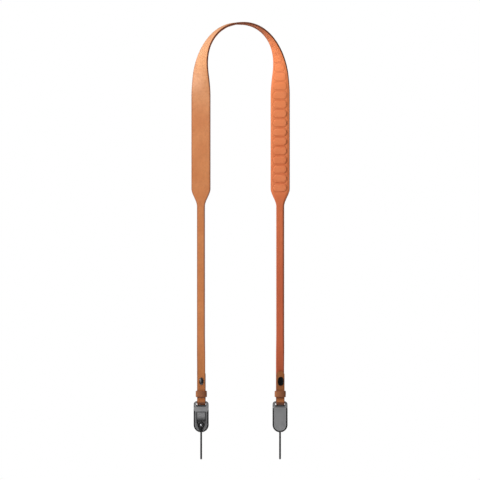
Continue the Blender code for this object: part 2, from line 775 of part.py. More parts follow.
def make_anchor(name, side, disc_material, rivet_material):
    """Anchor disc in the recess and the small bright dome on it."""
    small = ANCHOR_RADIUS - ANCHOR_EDGE
    rings = []
    for radius, depth in (
        (small, ANCHOR_BACK),
        (ANCHOR_RADIUS, ANCHOR_BACK + ANCHOR_EDGE),
        (ANCHOR_RADIUS, ANCHOR_FRONT - ANCHOR_EDGE),
        (small, ANCHOR_FRONT),
    ):
        rings.append(oval(side, radius, radius, depth, 0.0, ANCHOR_RISE))
    loft("anchor_disc_" + name, rings, disc_material, smooth=True)
    seat = ANCHOR_FRONT + FIT_GAP
    rivet = RIVET_DIAMETER / 2
    dome = [oval(side, rivet, rivet, seat, 0.0, ANCHOR_RISE, RIVET_POINTS)]
    for angle in RIVET_ANGLES:
        shrink = math.cos(math.radians(angle)) * rivet
        depth = seat + RIVET_RIM + (RIVET_RISE - RIVET_RIM) * math.sin(math.radians(angle))
        dome.append(oval(side, shrink, shrink, depth, 0.0, ANCHOR_RISE, RIVET_POINTS))
    loft("anchor_rivet_" + name, dome, rivet_material, smooth=True)


def smooth_route(points, spacing):
    """Reads evenly spaced points from a smooth curve through the chosen ones."""
    points = np.array(points)
    before = 2 * points[0] - points[1]
    after = 2 * points[-1] - points[-2]
    padded = np.vstack([before, points, after])
    share = np.linspace(0.0, 1.0, ROUTE_SAMPLES, endpoint=False)[:, None]
    pieces = []
    for index in range(len(points) - 1):
        first, start, end, last = padded[index:index + 4]
        pieces.append(0.5 * (2 * start + (end - first) * share
                             + (2 * first - 5 * start + 4 * end - last) * share ** 2
                             + (3 * start - first - 3 * end + last) * share ** 3))
    dense = np.vstack(pieces + [points[-1:]])
    length = np.concatenate([[0.0], np.cumsum(np.linalg.norm(np.diff(dense, axis=0), axis=1))])
    even = np.linspace(0.0, length[-1], round(length[-1] / spacing) + 1)
    return np.stack([np.interp(even, length, dense[:, axis]) for axis in range(dense.shape[1])], axis=1)


def cord_route(side):
    """Chosen points of one cord loop, from the anchor, round the bottom and back to it."""
    top = ANCHOR_RISE - ANCHOR_RADIUS
    behind = [(-offset, drop) for offset, drop in reversed(CORD_HALF_ROUTE[:-1])]
    places = list(CORD_HALF_ROUTE) + behind
    return [at_end(side, 0.0, CORD_MIDDLE + offset, top - drop) for offset, drop in places]


def make_cord(name, side, material):
    """Thin cord loop that leaves the anchor and returns to it."""
    curve = bpy.data.curves.new("cord_loop_" + name, "CURVE")
    curve.dimensions = "3D"
    curve.bevel_depth = CORD_DIAMETER / 2
    curve.bevel_resolution = 2
    curve.use_fill_caps = True
    points = smooth_route(cord_route(side), CORD_POINT_SPACING)
    spline = curve.splines.new("POLY")
    spline.points.add(len(points) - 1)
    for target, point in zip(spline.points, points):
        target.co = (*point, 1.0)
    curve.materials.append(material)
    item = bpy.data.objects.new("cord_loop_" + name, curve)
    bpy.context.scene.collection.objects.link(item)


def main():
    """Builds the strap and both ends."""
    clear_scene()
    tan = finish("tan_leather", (0.60, 0.27, 0.11), 0.5)
    orange = finish("orange_lining", (0.75, 0.22, 0.08), 0.8)
    gloss = finish("black_gloss", (0.01, 0.01, 0.012), 0.15, 0.6)
    black = finish("black_satin", (0.015, 0.015, 0.017), 0.5, 0.3)
    gunmetal = finish("gunmetal", (0.20, 0.20, 0.21), 0.4, 0.8)
    plate = finish("latch_grey", (0.22, 0.22, 0.23), 0.35, 0.8)
    plastic = finish("black_plastic", (0.012, 0.012, 0.013), 0.55)
    bright = finish("bright_metal", (0.55, 0.56, 0.58), 0.25, 1.0)
    cord = finish("black_cord", (0.02, 0.02, 0.022), 0.85)
    make_leather(tan)
    make_lining(orange)
    for name, side in SIDES:
        make_keeper(name, side, tan)
        make_stud(name, side, gloss, black)
        make_housing(name, side, gunmetal)
        make_latch(name, side, plate)
        make_anchor(name, side, plastic, bright)
        make_cord(name, side, cord)


main()
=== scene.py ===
"""Looks of a camera neck strap: leather, padded lining, studs, connectors and cord loops.

Metres, +Z up, the viewer towards -Y. Two frames are used, as in the part's own source. Along the strap a
place is (run, across, depth): run is the length along the middle line from the top, negative to the left;
across is the offset towards the front edge; depth is the height above the surface between leather and
lining. At each end a place is (across, depth, rise): across is along +X, depth is towards the strap's outer
face, and rise is the height above the strap's bend.
"""

import logging
import math
from collections.abc import Mapping, Sequence
from dataclasses import dataclass
from enum import Enum
from functools import cached_property

import bpy
import numpy as np
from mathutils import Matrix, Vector
from numpy.typing import NDArray


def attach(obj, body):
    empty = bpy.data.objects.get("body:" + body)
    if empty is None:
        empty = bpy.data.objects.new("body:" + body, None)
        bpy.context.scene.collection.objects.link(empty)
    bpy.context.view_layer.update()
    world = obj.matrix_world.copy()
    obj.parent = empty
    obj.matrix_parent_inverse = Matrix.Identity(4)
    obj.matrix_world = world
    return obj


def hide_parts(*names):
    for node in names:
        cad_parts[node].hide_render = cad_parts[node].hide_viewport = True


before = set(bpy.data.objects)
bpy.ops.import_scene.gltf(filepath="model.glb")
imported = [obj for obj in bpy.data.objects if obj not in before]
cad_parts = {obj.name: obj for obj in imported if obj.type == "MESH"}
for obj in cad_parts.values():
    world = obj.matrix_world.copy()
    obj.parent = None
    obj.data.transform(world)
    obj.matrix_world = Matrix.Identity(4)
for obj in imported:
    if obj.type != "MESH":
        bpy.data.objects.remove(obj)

MM = 0.001
ROOT_BODY = "root"

Array = NDArray[np.float64]
Colour = tuple[float, float, float]
Place = tuple[float, float, float]
Table = tuple[tuple[float, float], ...]

log = logging.getLogger("strap")


class End(Enum):
    """One of the strap's two ends."""

    LEFT = "left"
    RIGHT = "right"

    @property
    def side(self) -> float:
        """Sign of the end's place along X."""
        return -1.0 if self is End.LEFT else 1.0


class Cover(Enum):
    """How a tube of rings is closed: a flat face at each end, or its last ring joined to its first."""

    FLAT = "flat"
    JOINED = "joined"


def ease(share: Array | float) -> Array:
    """Goes from 0 to 1 with level ends: three times the square less twice the cube."""
    share = np.clip(share, 0.0, 1.0)
    return share * share * (3.0 - 2.0 * share)


def fade(value: Array | float, start: float, length: float) -> Array:
    """Falls from 1 at a start to 0 a length further on, with level ends."""
    return 1.0 - ease((value - start) / length)


def soft_max(first: Array, second: Array, width: float) -> Array:
    """Larger of two fields, with the crease between them rounded over a width."""
    blend = np.clip(0.5 + (first - second) / (2.0 * width), 0.0, 1.0)
    return second + (first - second) * blend + width * blend * (1.0 - blend)


# ---------------------------------------------------------------------------
# Meshes


def grid_faces(rows: int, columns: int, cover: Cover) -> list[tuple[int, ...]]:
    """Faces of a tube whose points stand in rows, each row a closed ring.

    Args:
        rows: Number of rings.
        columns: Number of points in a ring.
        cover: How the first and the last ring are closed.

    Returns:
        The faces as tuples of point numbers.
    """
    last = rows if cover is Cover.JOINED else rows - 1
    row, column = np.meshgrid(np.arange(last), np.arange(columns), indexing="ij")
    following = (column + 1) % columns
    above = (row + 1) % rows
    corners = [(row, column), (row, following), (above, following), (above, column)]
    quads = np.stack([ring * columns + point for ring, point in corners], axis=-1).reshape(-1, 4)
    faces = [tuple(quad) for quad in quads.tolist()]
    if cover is Cover.FLAT:
        faces.append(tuple(range(columns - 1, -1, -1)))
        faces.append(tuple(range((rows - 1) * columns, rows * columns)))
    return faces


def signed_volume(points: Array) -> float:
    """Volume inside a tube of rings, positive where its quads face outwards: a sum of corner products."""
    here = points[:-1]
    above = points[1:]
    right = np.roll(here, -1, axis=1)
    above_right = np.roll(above, -1, axis=1)
    lower = np.einsum("rci,rci->", here, np.cross(right, above_right))
    upper = np.einsum("rci,rci->", here, np.cross(above_right, above))
    return float(lower + upper)


def tube(
    name: str,
    points: Array,
    cover: Cover = Cover.FLAT,
    fields: Mapping[str, Array] | None = None,
    smooth_angle: float = math.radians(40.0),
) -> bpy.types.Object:
    """Makes a closed object from rings of points.

    Args:
        name: Name of the object.
        points: Array of (rows, columns, 3) places, each row a closed ring.
        cover: How the first and the last ring are closed.
        fields: Values for the points, each or by row or column, kept on the mesh for the materials.
        smooth_angle: Angle past which an edge between two faces stays crisp.

    Returns:
        The new object, linked to the scene, at the origin.
    """
    rows, columns, _ = points.shape
    spread = {key: np.broadcast_to(value, (rows, columns)) for key, value in (fields or {}).items()}
    if signed_volume(points - points.mean(axis=(0, 1))) < 0.0:
        points = points[:, ::-1]
        spread = {key: value[:, ::-1] for key, value in spread.items()}
    mesh = bpy.data.meshes.new(name)
    mesh.from_pydata(points.reshape(-1, 3).tolist(), [], grid_faces(rows, columns, cover))
    for key, value in spread.items():
        layer = mesh.attributes.new(key, "FLOAT", "POINT")
        layer.data.foreach_set("value", np.ascontiguousarray(value, dtype=np.float32).ravel())
    mesh.shade_smooth()
    mesh.set_sharp_from_angle(angle=smooth_angle)
    mesh.update()
    item = bpy.data.objects.new(name, mesh)
    bpy.context.scene.collection.objects.link(item)
    return item


def carve(body: bpy.types.Object, steps: Sequence[tuple[str, bpy.types.Object]]) -> None:
    """Adds and cuts other solids, in order, and leaves the result as the body's own mesh.

    Args:
        body: The solid that is worked on.
        steps: Pairs of Boolean operation and the solid that it uses, which is deleted at the end.
    """
    for operation, tool in steps:
        change = body.modifiers.new(tool.name, "BOOLEAN")
        change.operation = operation
        change.solver = "EXACT"
        change.object = tool
    graph = bpy.context.evaluated_depsgraph_get()
    result = bpy.data.meshes.new_from_object(body.evaluated_get(graph))
    body.modifiers.clear()
    plain = body.data
    body.data = result
    result.name = body.name
    bpy.data.meshes.remove(plain)
    for _, tool in steps:
        spare = tool.data
        bpy.data.objects.remove(tool, do_unlink=True)
        bpy.data.meshes.remove(spare)


def soften(item: bpy.types.Object, width: float, angle: float = math.radians(28.0)) -> None:
    """Rounds the crisp edges of a finished solid with a two-step bevel."""
    edge = item.modifiers.new("eased_edges", "BEVEL")
    edge.width = width
    edge.segments = 2
    edge.limit_method = "ANGLE"
    edge.angle_limit = angle
    edge.use_clamp_overlap = True
    item.data.shade_smooth()
    item.data.set_sharp_from_angle(angle=math.radians(24.0))


# ---------------------------------------------------------------------------
# Shaders


@dataclass(frozen=True)
class Signal:
    """One output of a shader node, so that shader maths reads as arithmetic."""

    graph: "Graph"
    socket: bpy.types.NodeSocket

    def _math(self, operation: str, first: "Signal | float", second: "Signal | float") -> "Signal":
        """Adds one Math node for two values."""
        return self.graph.node("Math", {"operation": operation}, {0: first, 1: second})

    def __add__(self, other: "Signal | float") -> "Signal":
        """Sum of two values."""
        return self._math("ADD", self, other)

    __radd__ = __add__

    def __mul__(self, other: "Signal | float") -> "Signal":
        """Product of two values."""
        return self._math("MULTIPLY", self, other)

    __rmul__ = __mul__

    def __sub__(self, other: "Signal | float") -> "Signal":
        """This value less another."""
        return self._math("SUBTRACT", self, other)

    def __rsub__(self, other: float) -> "Signal":
        """Another value less this one."""
        return self._math("SUBTRACT", other, self)

    def between(self, low: float, high: float) -> "Signal":
        """Share of the way from one value to another, eased and held to 0 and 1."""
        return self.graph.node(
            "MapRange",
            {"interpolation_type": "SMOOTHSTEP"},
            {"Value": self, "From Min": low, "From Max": high},
        )


class Graph:
    """Node tree of one material or world, to which nodes are added one call at a time."""

    def __init__(self, tree: bpy.types.NodeTree) -> None:
        """Empties the tree."""
        self.tree = tree
        tree.nodes.clear()

    def node(
        self,
        kind: str,
        settings: Mapping[str, object] | None = None,
        sockets: Mapping[str | int, object] | None = None,
        output: str | int = 0,
    ) -> Signal:
        """Adds a node.

        Args:
            kind: Name of the node's type without the ShaderNode before it.
            settings: Properties of the node, set first.
            sockets: Values, or signals to link, for the node's inputs.
            output: The output that is wanted.

        Returns:
            The wanted output.
        """
        made = self.tree.nodes.new("ShaderNode" + kind)
        for key, value in (settings or {}).items():
            setattr(made, key, value)
        for key, value in (sockets or {}).items():
            if isinstance(value, Signal):
                self.tree.links.new(value.socket, made.inputs[key])
            elif isinstance(value, tuple) and len(value) == 3 and made.inputs[key].type == "RGBA":
                made.inputs[key].default_value = (*value, 1.0)
            else:
                made.inputs[key].default_value = value
        found = made.outputs[output] if len(made.outputs) else None
        return Signal(self, found)

    def blend(self, share: Signal | float, first: Signal | Colour, second: Signal | Colour) -> Signal:
        """Mixes two colours by a share."""
        return self.node(
            "Mix", {"data_type": "RGBA"}, {"Factor": share, 6: first, 7: second}, output=2
        )

    def field(self, name: str) -> Signal:
        """Reads a value that the mesh holds for each point."""
        return self.node("Attribute", {"attribute_name": name}, output="Fac")

    def place(self) -> Signal:
        """Reads the place on the object, in metres."""
        return self.node("TexCoord", output="Object")

    def noise(self, place: Signal, size: float, detail: float = 3.0, roughness: float = 0.5) -> Signal:
        """Cloudy noise between 0 and 1, with patches of about a given size in metres."""
        return self.node(
            "TexNoise",
            sockets={"Vector": place, "Scale": 1.0 / size, "Detail": detail, "Roughness": roughness},
        )

    def cells(self, place: Signal, size: float, feature: str = "F1") -> Signal:
        """Distance to the nearest cell's middle, or to its edge, with cells of about a given size."""
        return self.node(
            "TexVoronoi", {"feature": feature}, {"Vector": place, "Scale": 1.0 / size}, output="Distance"
        )

    def stretched(self, place: Signal, factors: Place) -> Signal:
        """Stretches a place along the axes."""
        return self.node("VectorMath", {"operation": "MULTIPLY"}, {0: place, 1: factors})


@dataclass(frozen=True)
class Finish:
    """Base of all finishes: a Principled surface whose varying inputs each finish works out."""

    name: str
    slot: str
    colour: Colour
    roughness: float = 0.5

    def surface(self, graph: Graph) -> dict[str, object]:
        """Inputs of the surface shader. Each finish gives its own."""
        raise NotImplementedError

    @cached_property
    def material(self) -> bpy.types.Material:
        """The material, made once."""
        made = bpy.data.materials.new(self.name)
        made.use_nodes = True
        graph = Graph(made.node_tree)
        shader = graph.node("BsdfPrincipled", sockets=self.surface(graph))
        graph.node("OutputMaterial", sockets={"Surface": shader})
        return made

    def dress(self, item: bpy.types.Object) -> None:
        """Gives an object this material."""
        item.data.materials.clear()
        item.data.materials.append(self.material)

    @staticmethod
    def relief(graph: Graph, height: Signal, depth: float, strength: float) -> Signal:
        """Bump from a height between 0 and 1 over a depth in metres."""
        sockets = {"Height": height, "Distance": depth, "Strength": strength}
        return graph.node("Bump", sockets=sockets, output="Normal")


@dataclass(frozen=True)
class LeatherFinish(Finish):
    """Smooth tan leather with a fine grain, cloudy tone and dark painted edges."""

    # dark: darker tone of the mottle and the grain, and the colour of the painted edge shade
    dark: Colour = (0.34, 0.105, 0.026)
    # deep: colour of the painted shade
    deep: Colour = (0.060, 0.014, 0.004)
    pale: Colour = (0.62, 0.240, 0.075)
    painted_highlight: Colour = (0.70, 0.42, 0.23)
    paint: Colour = (0.200, 0.050, 0.017)
    paint_pale: Colour = (0.280, 0.086, 0.033)
    cloud_size: float = 26.0 * MM
    mottle_size: float = 3.2 * MM
    grain_size: float = 0.75 * MM
    pore_size: float = 0.9 * MM

    def surface(self, graph: Graph) -> dict[str, object]:
        """Cloudy and mottled tan; the grain's creases are darker; paint covers the edges. A painted
        highlight pales the upper arch, painted shade darkens the rounded edges, the line below each keeper
        and the bend in the slot, and the ends and the tab are darker.
        """
        place = graph.place()
        cloud = graph.noise(place, self.cloud_size, 4.0, 0.55)
        mottle = graph.noise(place, self.mottle_size, 5.0, 0.6)
        grain = graph.cells(place, self.grain_size, "DISTANCE_TO_EDGE").between(0.0, 0.22)
        pores = graph.cells(place, self.pore_size).between(0.10, 0.20)
        tone = graph.blend(cloud.between(0.34, 0.72) * 0.6, self.colour, self.pale)
        # painted highlight: paler towards the top of the arch, where the crest field is set
        tone = graph.blend(graph.field("crest") * 0.42, tone, self.painted_highlight)
        tone = graph.blend((1.0 - mottle.between(0.30, 0.62)) * 0.26, tone, self.dark)
        tone = graph.blend((1.0 - grain) * 0.22, tone, self.dark)
        tone = graph.blend((1.0 - pores) * 0.30, tone, self.dark)
        # painted shade along the rounded edges, and darker towards the strap's ends
        edge_shade_and_end_dark = graph.field("edge_shade_and_end_dark")
        tone = graph.blend(edge_shade_and_end_dark * 0.75, tone, self.dark)
        # painted shade: darker towards the deep colour where the shade field is set
        tone = graph.blend(graph.field("shade"), tone, self.deep)
        coat = graph.blend(mottle.between(0.35, 0.65), self.paint, self.paint_pale)
        paint = graph.field("paint").between(0.25, 0.75)
        height = grain * 0.55 + pores * 0.25 + mottle * 0.20
        return {
            "Base Color": graph.blend(paint, tone, coat),
            "Roughness": self.roughness + 0.14 * (1.0 - mottle) + 0.24 * paint,
            "Specular IOR Level": 0.34,
            "Normal": self.relief(graph, height * (1.0 - 0.7 * paint), 0.06 * MM, 0.8),
        }


@dataclass(frozen=True)
class LiningFinish(Finish):
    """Orange brushed lining with a soft nap: painted shade in the grooves and at the apex, a painted
    highlight on the upper arch, and narrow ends that are redder, with painted shade.
    """

    # groove: colour of the painted shade in the creases, also the nap's darker fibres
    groove: Colour = (0.40, 0.085, 0.028)
    brushed: Colour = (0.80, 0.26, 0.105)
    painted_highlight: Colour = (0.95, 0.30, 0.10)
    # narrow: redder tone of the lining, darkened by painted shade
    narrow: Colour = (0.46, 0.092, 0.038)
    # colour of the painted shade under the top of the arch
    apex_shade_tone: Colour = (0.26, 0.050, 0.018)
    paint: Colour = (0.150, 0.036, 0.014)
    cloud_size: float = 14.0 * MM
    nap_size: float = 0.45 * MM
    fibre_size: float = 0.16 * MM

    def surface(self, graph: Graph) -> dict[str, object]:
        """Pad tops are paler, painted shade darkens the grooves, and fine fibres give the nap."""
        place = graph.place()
        cloud = graph.noise(place, self.cloud_size, 3.0)
        nap = graph.noise(place, self.nap_size, 4.0, 0.65)
        fibre = graph.noise(graph.stretched(place, (1.0, 1.0, 0.35)), self.fibre_size, 2.0)
        relief = graph.field("relief")
        # painted highlight: paler towards the top of the arch
        tone = graph.blend(graph.field("crest") * 0.45, self.colour, self.painted_highlight)
        tone = graph.blend(cloud.between(0.35, 0.70) * 0.45, tone, self.brushed)
        tone = graph.blend(relief.between(0.0, 0.7) * 0.25, tone, self.brushed)
        # painted shade in the creases round the pads
        tone = graph.blend(graph.field("crease").between(0.15, 1.0) * 0.42, tone, self.groove)
        # redder and darker towards the ends: the redness is the lining's tone, the darkening painted shade
        tone = graph.blend(graph.field("narrow") * 0.85, tone, self.narrow)
        # painted shade near the top of the arch
        tone = graph.blend(graph.field("wear_and_shade") * 0.70, tone, self.apex_shade_tone)
        tone = graph.blend((1.0 - nap.between(0.28, 0.66)) * 0.30, tone, self.groove)
        paint = graph.field("paint").between(0.25, 0.75)
        height = nap * 0.6 + fibre * 0.4
        return {
            "Base Color": graph.blend(paint, tone, self.paint),
            "Roughness": self.roughness - 0.30 * paint,
            "Specular IOR Level": 0.25,
            "Sheen Weight": 0.25,
            "Sheen Roughness": 0.45,
            "Sheen Tint": (1.0, 0.72, 0.52, 1.0),
            "Normal": self.relief(graph, height * (1.0 - 0.8 * paint), 0.07 * MM, 0.8),
        }


@dataclass(frozen=True)
class MetalFinish(Finish):
    """Fine blasted metal with faint streaks: the grain's depth and the streaks' strength are given."""

    metallic: float = 0.85
    # rim: colour of the painted shade on faces that the mesh marks
    rim: Colour = (0.012, 0.012, 0.013)
    grain_size: float = 0.22 * MM
    grain_depth: float = 0.006 * MM
    streak: float = 0.10
    coat: float = 0.0
    specular: float = 0.5

    def surface(self, graph: Graph) -> dict[str, object]:
        """Tone and gloss follow a cloudy noise, a fine grain stands in the bump, and painted shade darkens
        the faces marked as rims.
        """
        place = graph.place()
        cloud = graph.noise(place, 7.0 * MM, 3.0)
        grain = graph.noise(place, self.grain_size, 3.0, 0.7)
        streaks = graph.noise(graph.stretched(place, (9.0, 9.0, 0.6)), 2.2 * MM, 3.0)
        shade = tuple(value * 0.72 for value in self.colour)
        tone = graph.blend(cloud.between(0.30, 0.75) * 0.35 + streaks * self.streak, self.colour, shade)
        return {
            # painted shade where the rim field is set
            "Base Color": graph.blend(graph.field("rim"), tone, self.rim),
            "Metallic": self.metallic,
            "Specular IOR Level": self.specular,
            "Roughness": self.roughness + 0.14 * (grain - 0.5) + self.streak * 0.5 * (streaks - 0.5),
            "Coat Weight": self.coat,
            "Coat Roughness": 0.06,
            "Normal": self.relief(graph, grain, self.grain_depth, 0.7),
        }


@dataclass(frozen=True)
class PlasticFinish(Finish):
    """Moulded black plastic with a fine spark texture and worn, paler high spots."""

    wear_and_shade: Colour = (0.045, 0.045, 0.048)
    texture_size: float = 0.35 * MM

    def surface(self, graph: Graph) -> dict[str, object]:
        """Cells of the moulding texture lie in the bump, and wear lifts the tone in patches."""
        place = graph.place()
        texture = graph.cells(place, self.texture_size)
        wear = graph.noise(place, 2.4 * MM, 4.0).between(0.52, 0.72)
        return {
            "Base Color": graph.blend(wear * 0.6, self.colour, self.wear_and_shade),
            "Roughness": self.roughness - 0.12 * wear,
            "Normal": self.relief(graph, texture, 0.03 * MM, 0.6),
        }


@dataclass(frozen=True)
class CordFinish(Finish):
    """Braided black cord: the strands' pattern is in the mesh, and fibres lie in the bump."""

    # paler colour of the strand tops
    strand_top_colour: Colour = (0.013, 0.013, 0.014)

    def surface(self, graph: Graph) -> dict[str, object]:
        """Strand tops are paler than the hollows between them, with fine fibre noise."""
        place = graph.place()
        fibre = graph.noise(place, 0.14 * MM, 3.0, 0.7)
        strand = graph.field("strand")
        tone = graph.blend(strand.between(0.25, 1.0) * 0.6 + fibre * 0.25, self.colour, self.strand_top_colour)
        return {
            "Base Color": tone,
            "Roughness": self.roughness + 0.10 * (fibre - 0.5),
            "Specular IOR Level": 0.2,
            "Sheen Weight": 0.03,
            "Normal": self.relief(graph, fibre, 0.04 * MM, 0.8),
        }


@dataclass(frozen=True)
class PaperFinish(Finish):
    """Pale studio floor that is bright enough to meet the background without a line."""

    glow: float = 0.30

    def surface(self, graph: Graph) -> dict[str, object]:
        """Even white with a very faint cloud."""
        cloud = graph.noise(graph.place(), 0.4, 2.0)
        return {
            "Base Color": graph.blend(cloud * 0.2, self.colour, (0.86, 0.86, 0.86)),
            "Roughness": self.roughness,
            "Emission Color": (1.0, 1.0, 1.0),
            "Emission Strength": self.glow,
        }


TAN = LeatherFinish("tan_leather_look", "tan_leather", (0.53, 0.172, 0.044), 0.40)
ORANGE = LiningFinish("orange_lining_look", "orange_lining", (0.66, 0.172, 0.058), 0.82)
BROWN = LeatherFinish(
    "brown_leather_look", "tan_leather", (0.37, 0.130, 0.046), 0.46,
    dark=(0.24, 0.078, 0.027), pale=(0.46, 0.172, 0.066),
)
GUNMETAL = MetalFinish(
    "gunmetal_look", "gunmetal", (0.29, 0.29, 0.295), 0.46, metallic=0.30, specular=0.25,
)
LATCH_GREY = MetalFinish(
    "latch_grey_look", "latch_grey", (0.25, 0.25, 0.255), 0.44, metallic=0.30, specular=0.25,
)
GLOSS = MetalFinish(
    "black_gloss_look", "black_gloss", (0.012, 0.012, 0.014), 0.16,
    metallic=0.0, grain_depth=0.002 * MM, streak=0.02, coat=0.6,
)
SATIN = MetalFinish(
    "black_satin_look", "black_satin", (0.003, 0.003, 0.0035), 0.38,
    metallic=0.0, streak=0.04, specular=0.12,
)
STEEL = MetalFinish(
    "bright_metal_look", "bright_metal", (0.52, 0.53, 0.55), 0.24, metallic=1.0, streak=0.05,
)
PLASTIC = PlasticFinish("black_plastic_look", "black_plastic", (0.010, 0.010, 0.011), 0.5)
BRAID = CordFinish("black_cord_look", "black_cord", (0.008, 0.008, 0.009), 0.8)
PAPER = PaperFinish("studio_floor_look", "", (0.93, 0.93, 0.93), 0.8)


# ---------------------------------------------------------------------------
# The strap


@dataclass(frozen=True)
class StrapLine:
    """Middle line of the strap as it hangs, the turn of its width, and its width."""

    arch_half_width: float = 49.3 * MM
    arch_rise: float = 66.7 * MM
    arch_foot: float = -64.95 * MM
    squareness: float = 2.18
    twist_length: float = 115.0 * MM
    twist_evenness: float = 0.5
    leg_turn: float = math.radians(23.5)
    straighten_length: float = 48.0 * MM
    straight_from: float = 460.0 * MM
    bend_run: float = 499.9 * MM
    shoulder_end: float = 237.5 * MM
    taper_start: float = 232.4 * MM
    taper_length: float = 22.5 * MM
    shoulder_width: float = 25.4 * MM
    narrow_width: float = 10.2 * MM
    samples: int = 4001

    def arch(self, angle: Array) -> tuple[Array, Array]:
        """Left half of the arch, a squarish ellipse: powers of the angle's cosine and sine."""
        power = 2.0 / self.squareness
        across = -self.arch_half_width * np.cos(angle) ** power
        return across, self.arch_foot + self.arch_rise * np.sin(angle) ** power

    @cached_property
    def table(self) -> tuple[Array, Array]:
        """The arch's angle against the length from its foot."""
        angle = np.linspace(0.0, math.pi / 2, self.samples)
        across, rise = self.arch(angle)
        steps = np.hypot(np.diff(across), np.diff(rise))
        return angle, np.concatenate([[0.0], np.cumsum(steps)])

    @cached_property
    def half_arch(self) -> float:
        """Length of half the arch."""
        return float(self.table[1][-1])

    @cached_property
    def bend_height(self) -> float:
        """Height of the strap's bend at its ends."""
        return self.arch_foot - (self.bend_run - self.half_arch)

    def twist_share(self, from_top: Array) -> Array:
        """Share of the twist that is done: partly even, partly an eased square of the length."""
        share = np.clip(from_top / self.twist_length, 0.0, 1.0)
        return self.twist_evenness * share + (1.0 - self.twist_evenness) * ease(share * share)

    def frames(self, run: Array) -> tuple[Array, Array, Array]:
        """Places and directions along the middle line.

        The angle between the strap's width and the plane of the arch goes from a small turn on a leg to a
        right angle at the top, and back to none at the ends. The right half is the left one turned over.

        Args:
            run: Lengths from the top, negative to the left.

        Returns:
            The places, the directions towards the front edge and the directions out of the leather.
        """
        side = np.where(run < 0.0, 1.0, -1.0)
        from_top = np.abs(run)
        from_foot = np.clip(self.half_arch - from_top, 0.0, self.half_arch)
        across, rise = self.arch(np.interp(from_foot, self.table[1], self.table[0]))
        rise = rise - np.maximum(from_top - self.half_arch, 0.0)
        slope = self.squareness - 1.0
        outward_x = (np.abs(across) / self.arch_half_width) ** slope / self.arch_half_width
        outward_z = np.maximum((rise - self.arch_foot) / self.arch_rise, 0.0) ** slope / self.arch_rise
        length = np.hypot(outward_x, outward_z)
        along_x = outward_z / length
        along_z = side * outward_x / length
        level = np.zeros_like(run)
        turn = math.pi / 2 - (math.pi / 2 - self.leg_turn) * self.twist_share(from_top)
        last = (from_top - self.straight_from + self.straighten_length) / self.straighten_length
        turn = turn - self.leg_turn * ease(last)
        turn = np.where(run < 0.0, turn, math.pi - turn)
        front = np.stack([along_z, level, -along_x], axis=-1) * np.cos(turn)[:, None]
        front[:, 1] -= np.sin(turn)
        outward = np.cross(front, np.stack([along_x, level, along_z], axis=-1))
        return np.stack([side * across, level, rise], axis=-1), front, outward

    def half_width(self, run: Array) -> Array:
        """Half the strap's width: full on the shoulder, eased down to the narrow ends."""
        share = ease((np.abs(run) - self.taper_start) / self.taper_length)
        return (self.shoulder_width + (self.narrow_width - self.shoulder_width) * share) / 2

    def at_end(self, end: End, across: Array, depth: Array, rise: Array) -> Array:
        """Places at one end of the strap, as points."""
        x, y, z = np.broadcast_arrays(
            end.side * self.arch_half_width + across, end.side * depth, self.bend_height + rise
        )
        return np.stack([x, y, z], axis=-1)


LINE = StrapLine()


@dataclass(frozen=True)
class Section:
    """Closed outline across a flat strip with rounded edges, as columns for a grid.

    A column's place across is its share of the flat part's half width, plus its offset beyond that.
    """

    top: float
    foot: float
    top_radius: float
    foot_radius: float
    margin: float = 0.8 * MM
    paint_width: float = 0.36 * MM
    top_columns: int = 14
    foot_columns: int = 6
    arc_steps: int = 5

    def columns(self) -> tuple[Array, Array, Array, Array]:
        """Works out the ring: along the top, round one edge, back along the foot and up the other edge.

        Returns:
            The shares, the offsets, the depths and the paint, 1 where edge paint lies.
        """
        start = self.margin - self.paint_width
        crisp = 0.08 * MM
        bend = np.linspace(0.0, math.pi / 2, self.arc_steps)
        offset = np.concatenate([
            [start - crisp, start],
            self.margin - self.top_radius * (1.0 - np.sin(bend)),
            self.margin - self.foot_radius * (1.0 - np.cos(bend)),
            [start, start - crisp],
        ])
        depth = np.concatenate([
            [self.top, self.top],
            self.top - self.top_radius * (1.0 - np.cos(bend)),
            self.foot + self.foot_radius * (1.0 - np.sin(bend)),
            [self.foot, self.foot],
        ])
        paint = np.ones_like(offset)
        paint[[0, -1]] = 0.0
        top_share = np.linspace(-1.0, 1.0, self.top_columns + 1)
        foot_share = np.linspace(1.0, -1.0, self.foot_columns + 1)
        edge = np.ones_like(offset)
        share = np.concatenate([top_share, edge, foot_share, -edge])
        offsets = np.concatenate([0.0 * top_share, offset, 0.0 * foot_share, -offset[::-1]])
        depths = np.concatenate([
            np.full_like(top_share, self.top), depth, np.full_like(foot_share, self.foot), depth[::-1]
        ])
        paints = np.concatenate([0.0 * top_share, paint, 0.0 * foot_share, paint[::-1]])
        return share, offsets, depths, paints


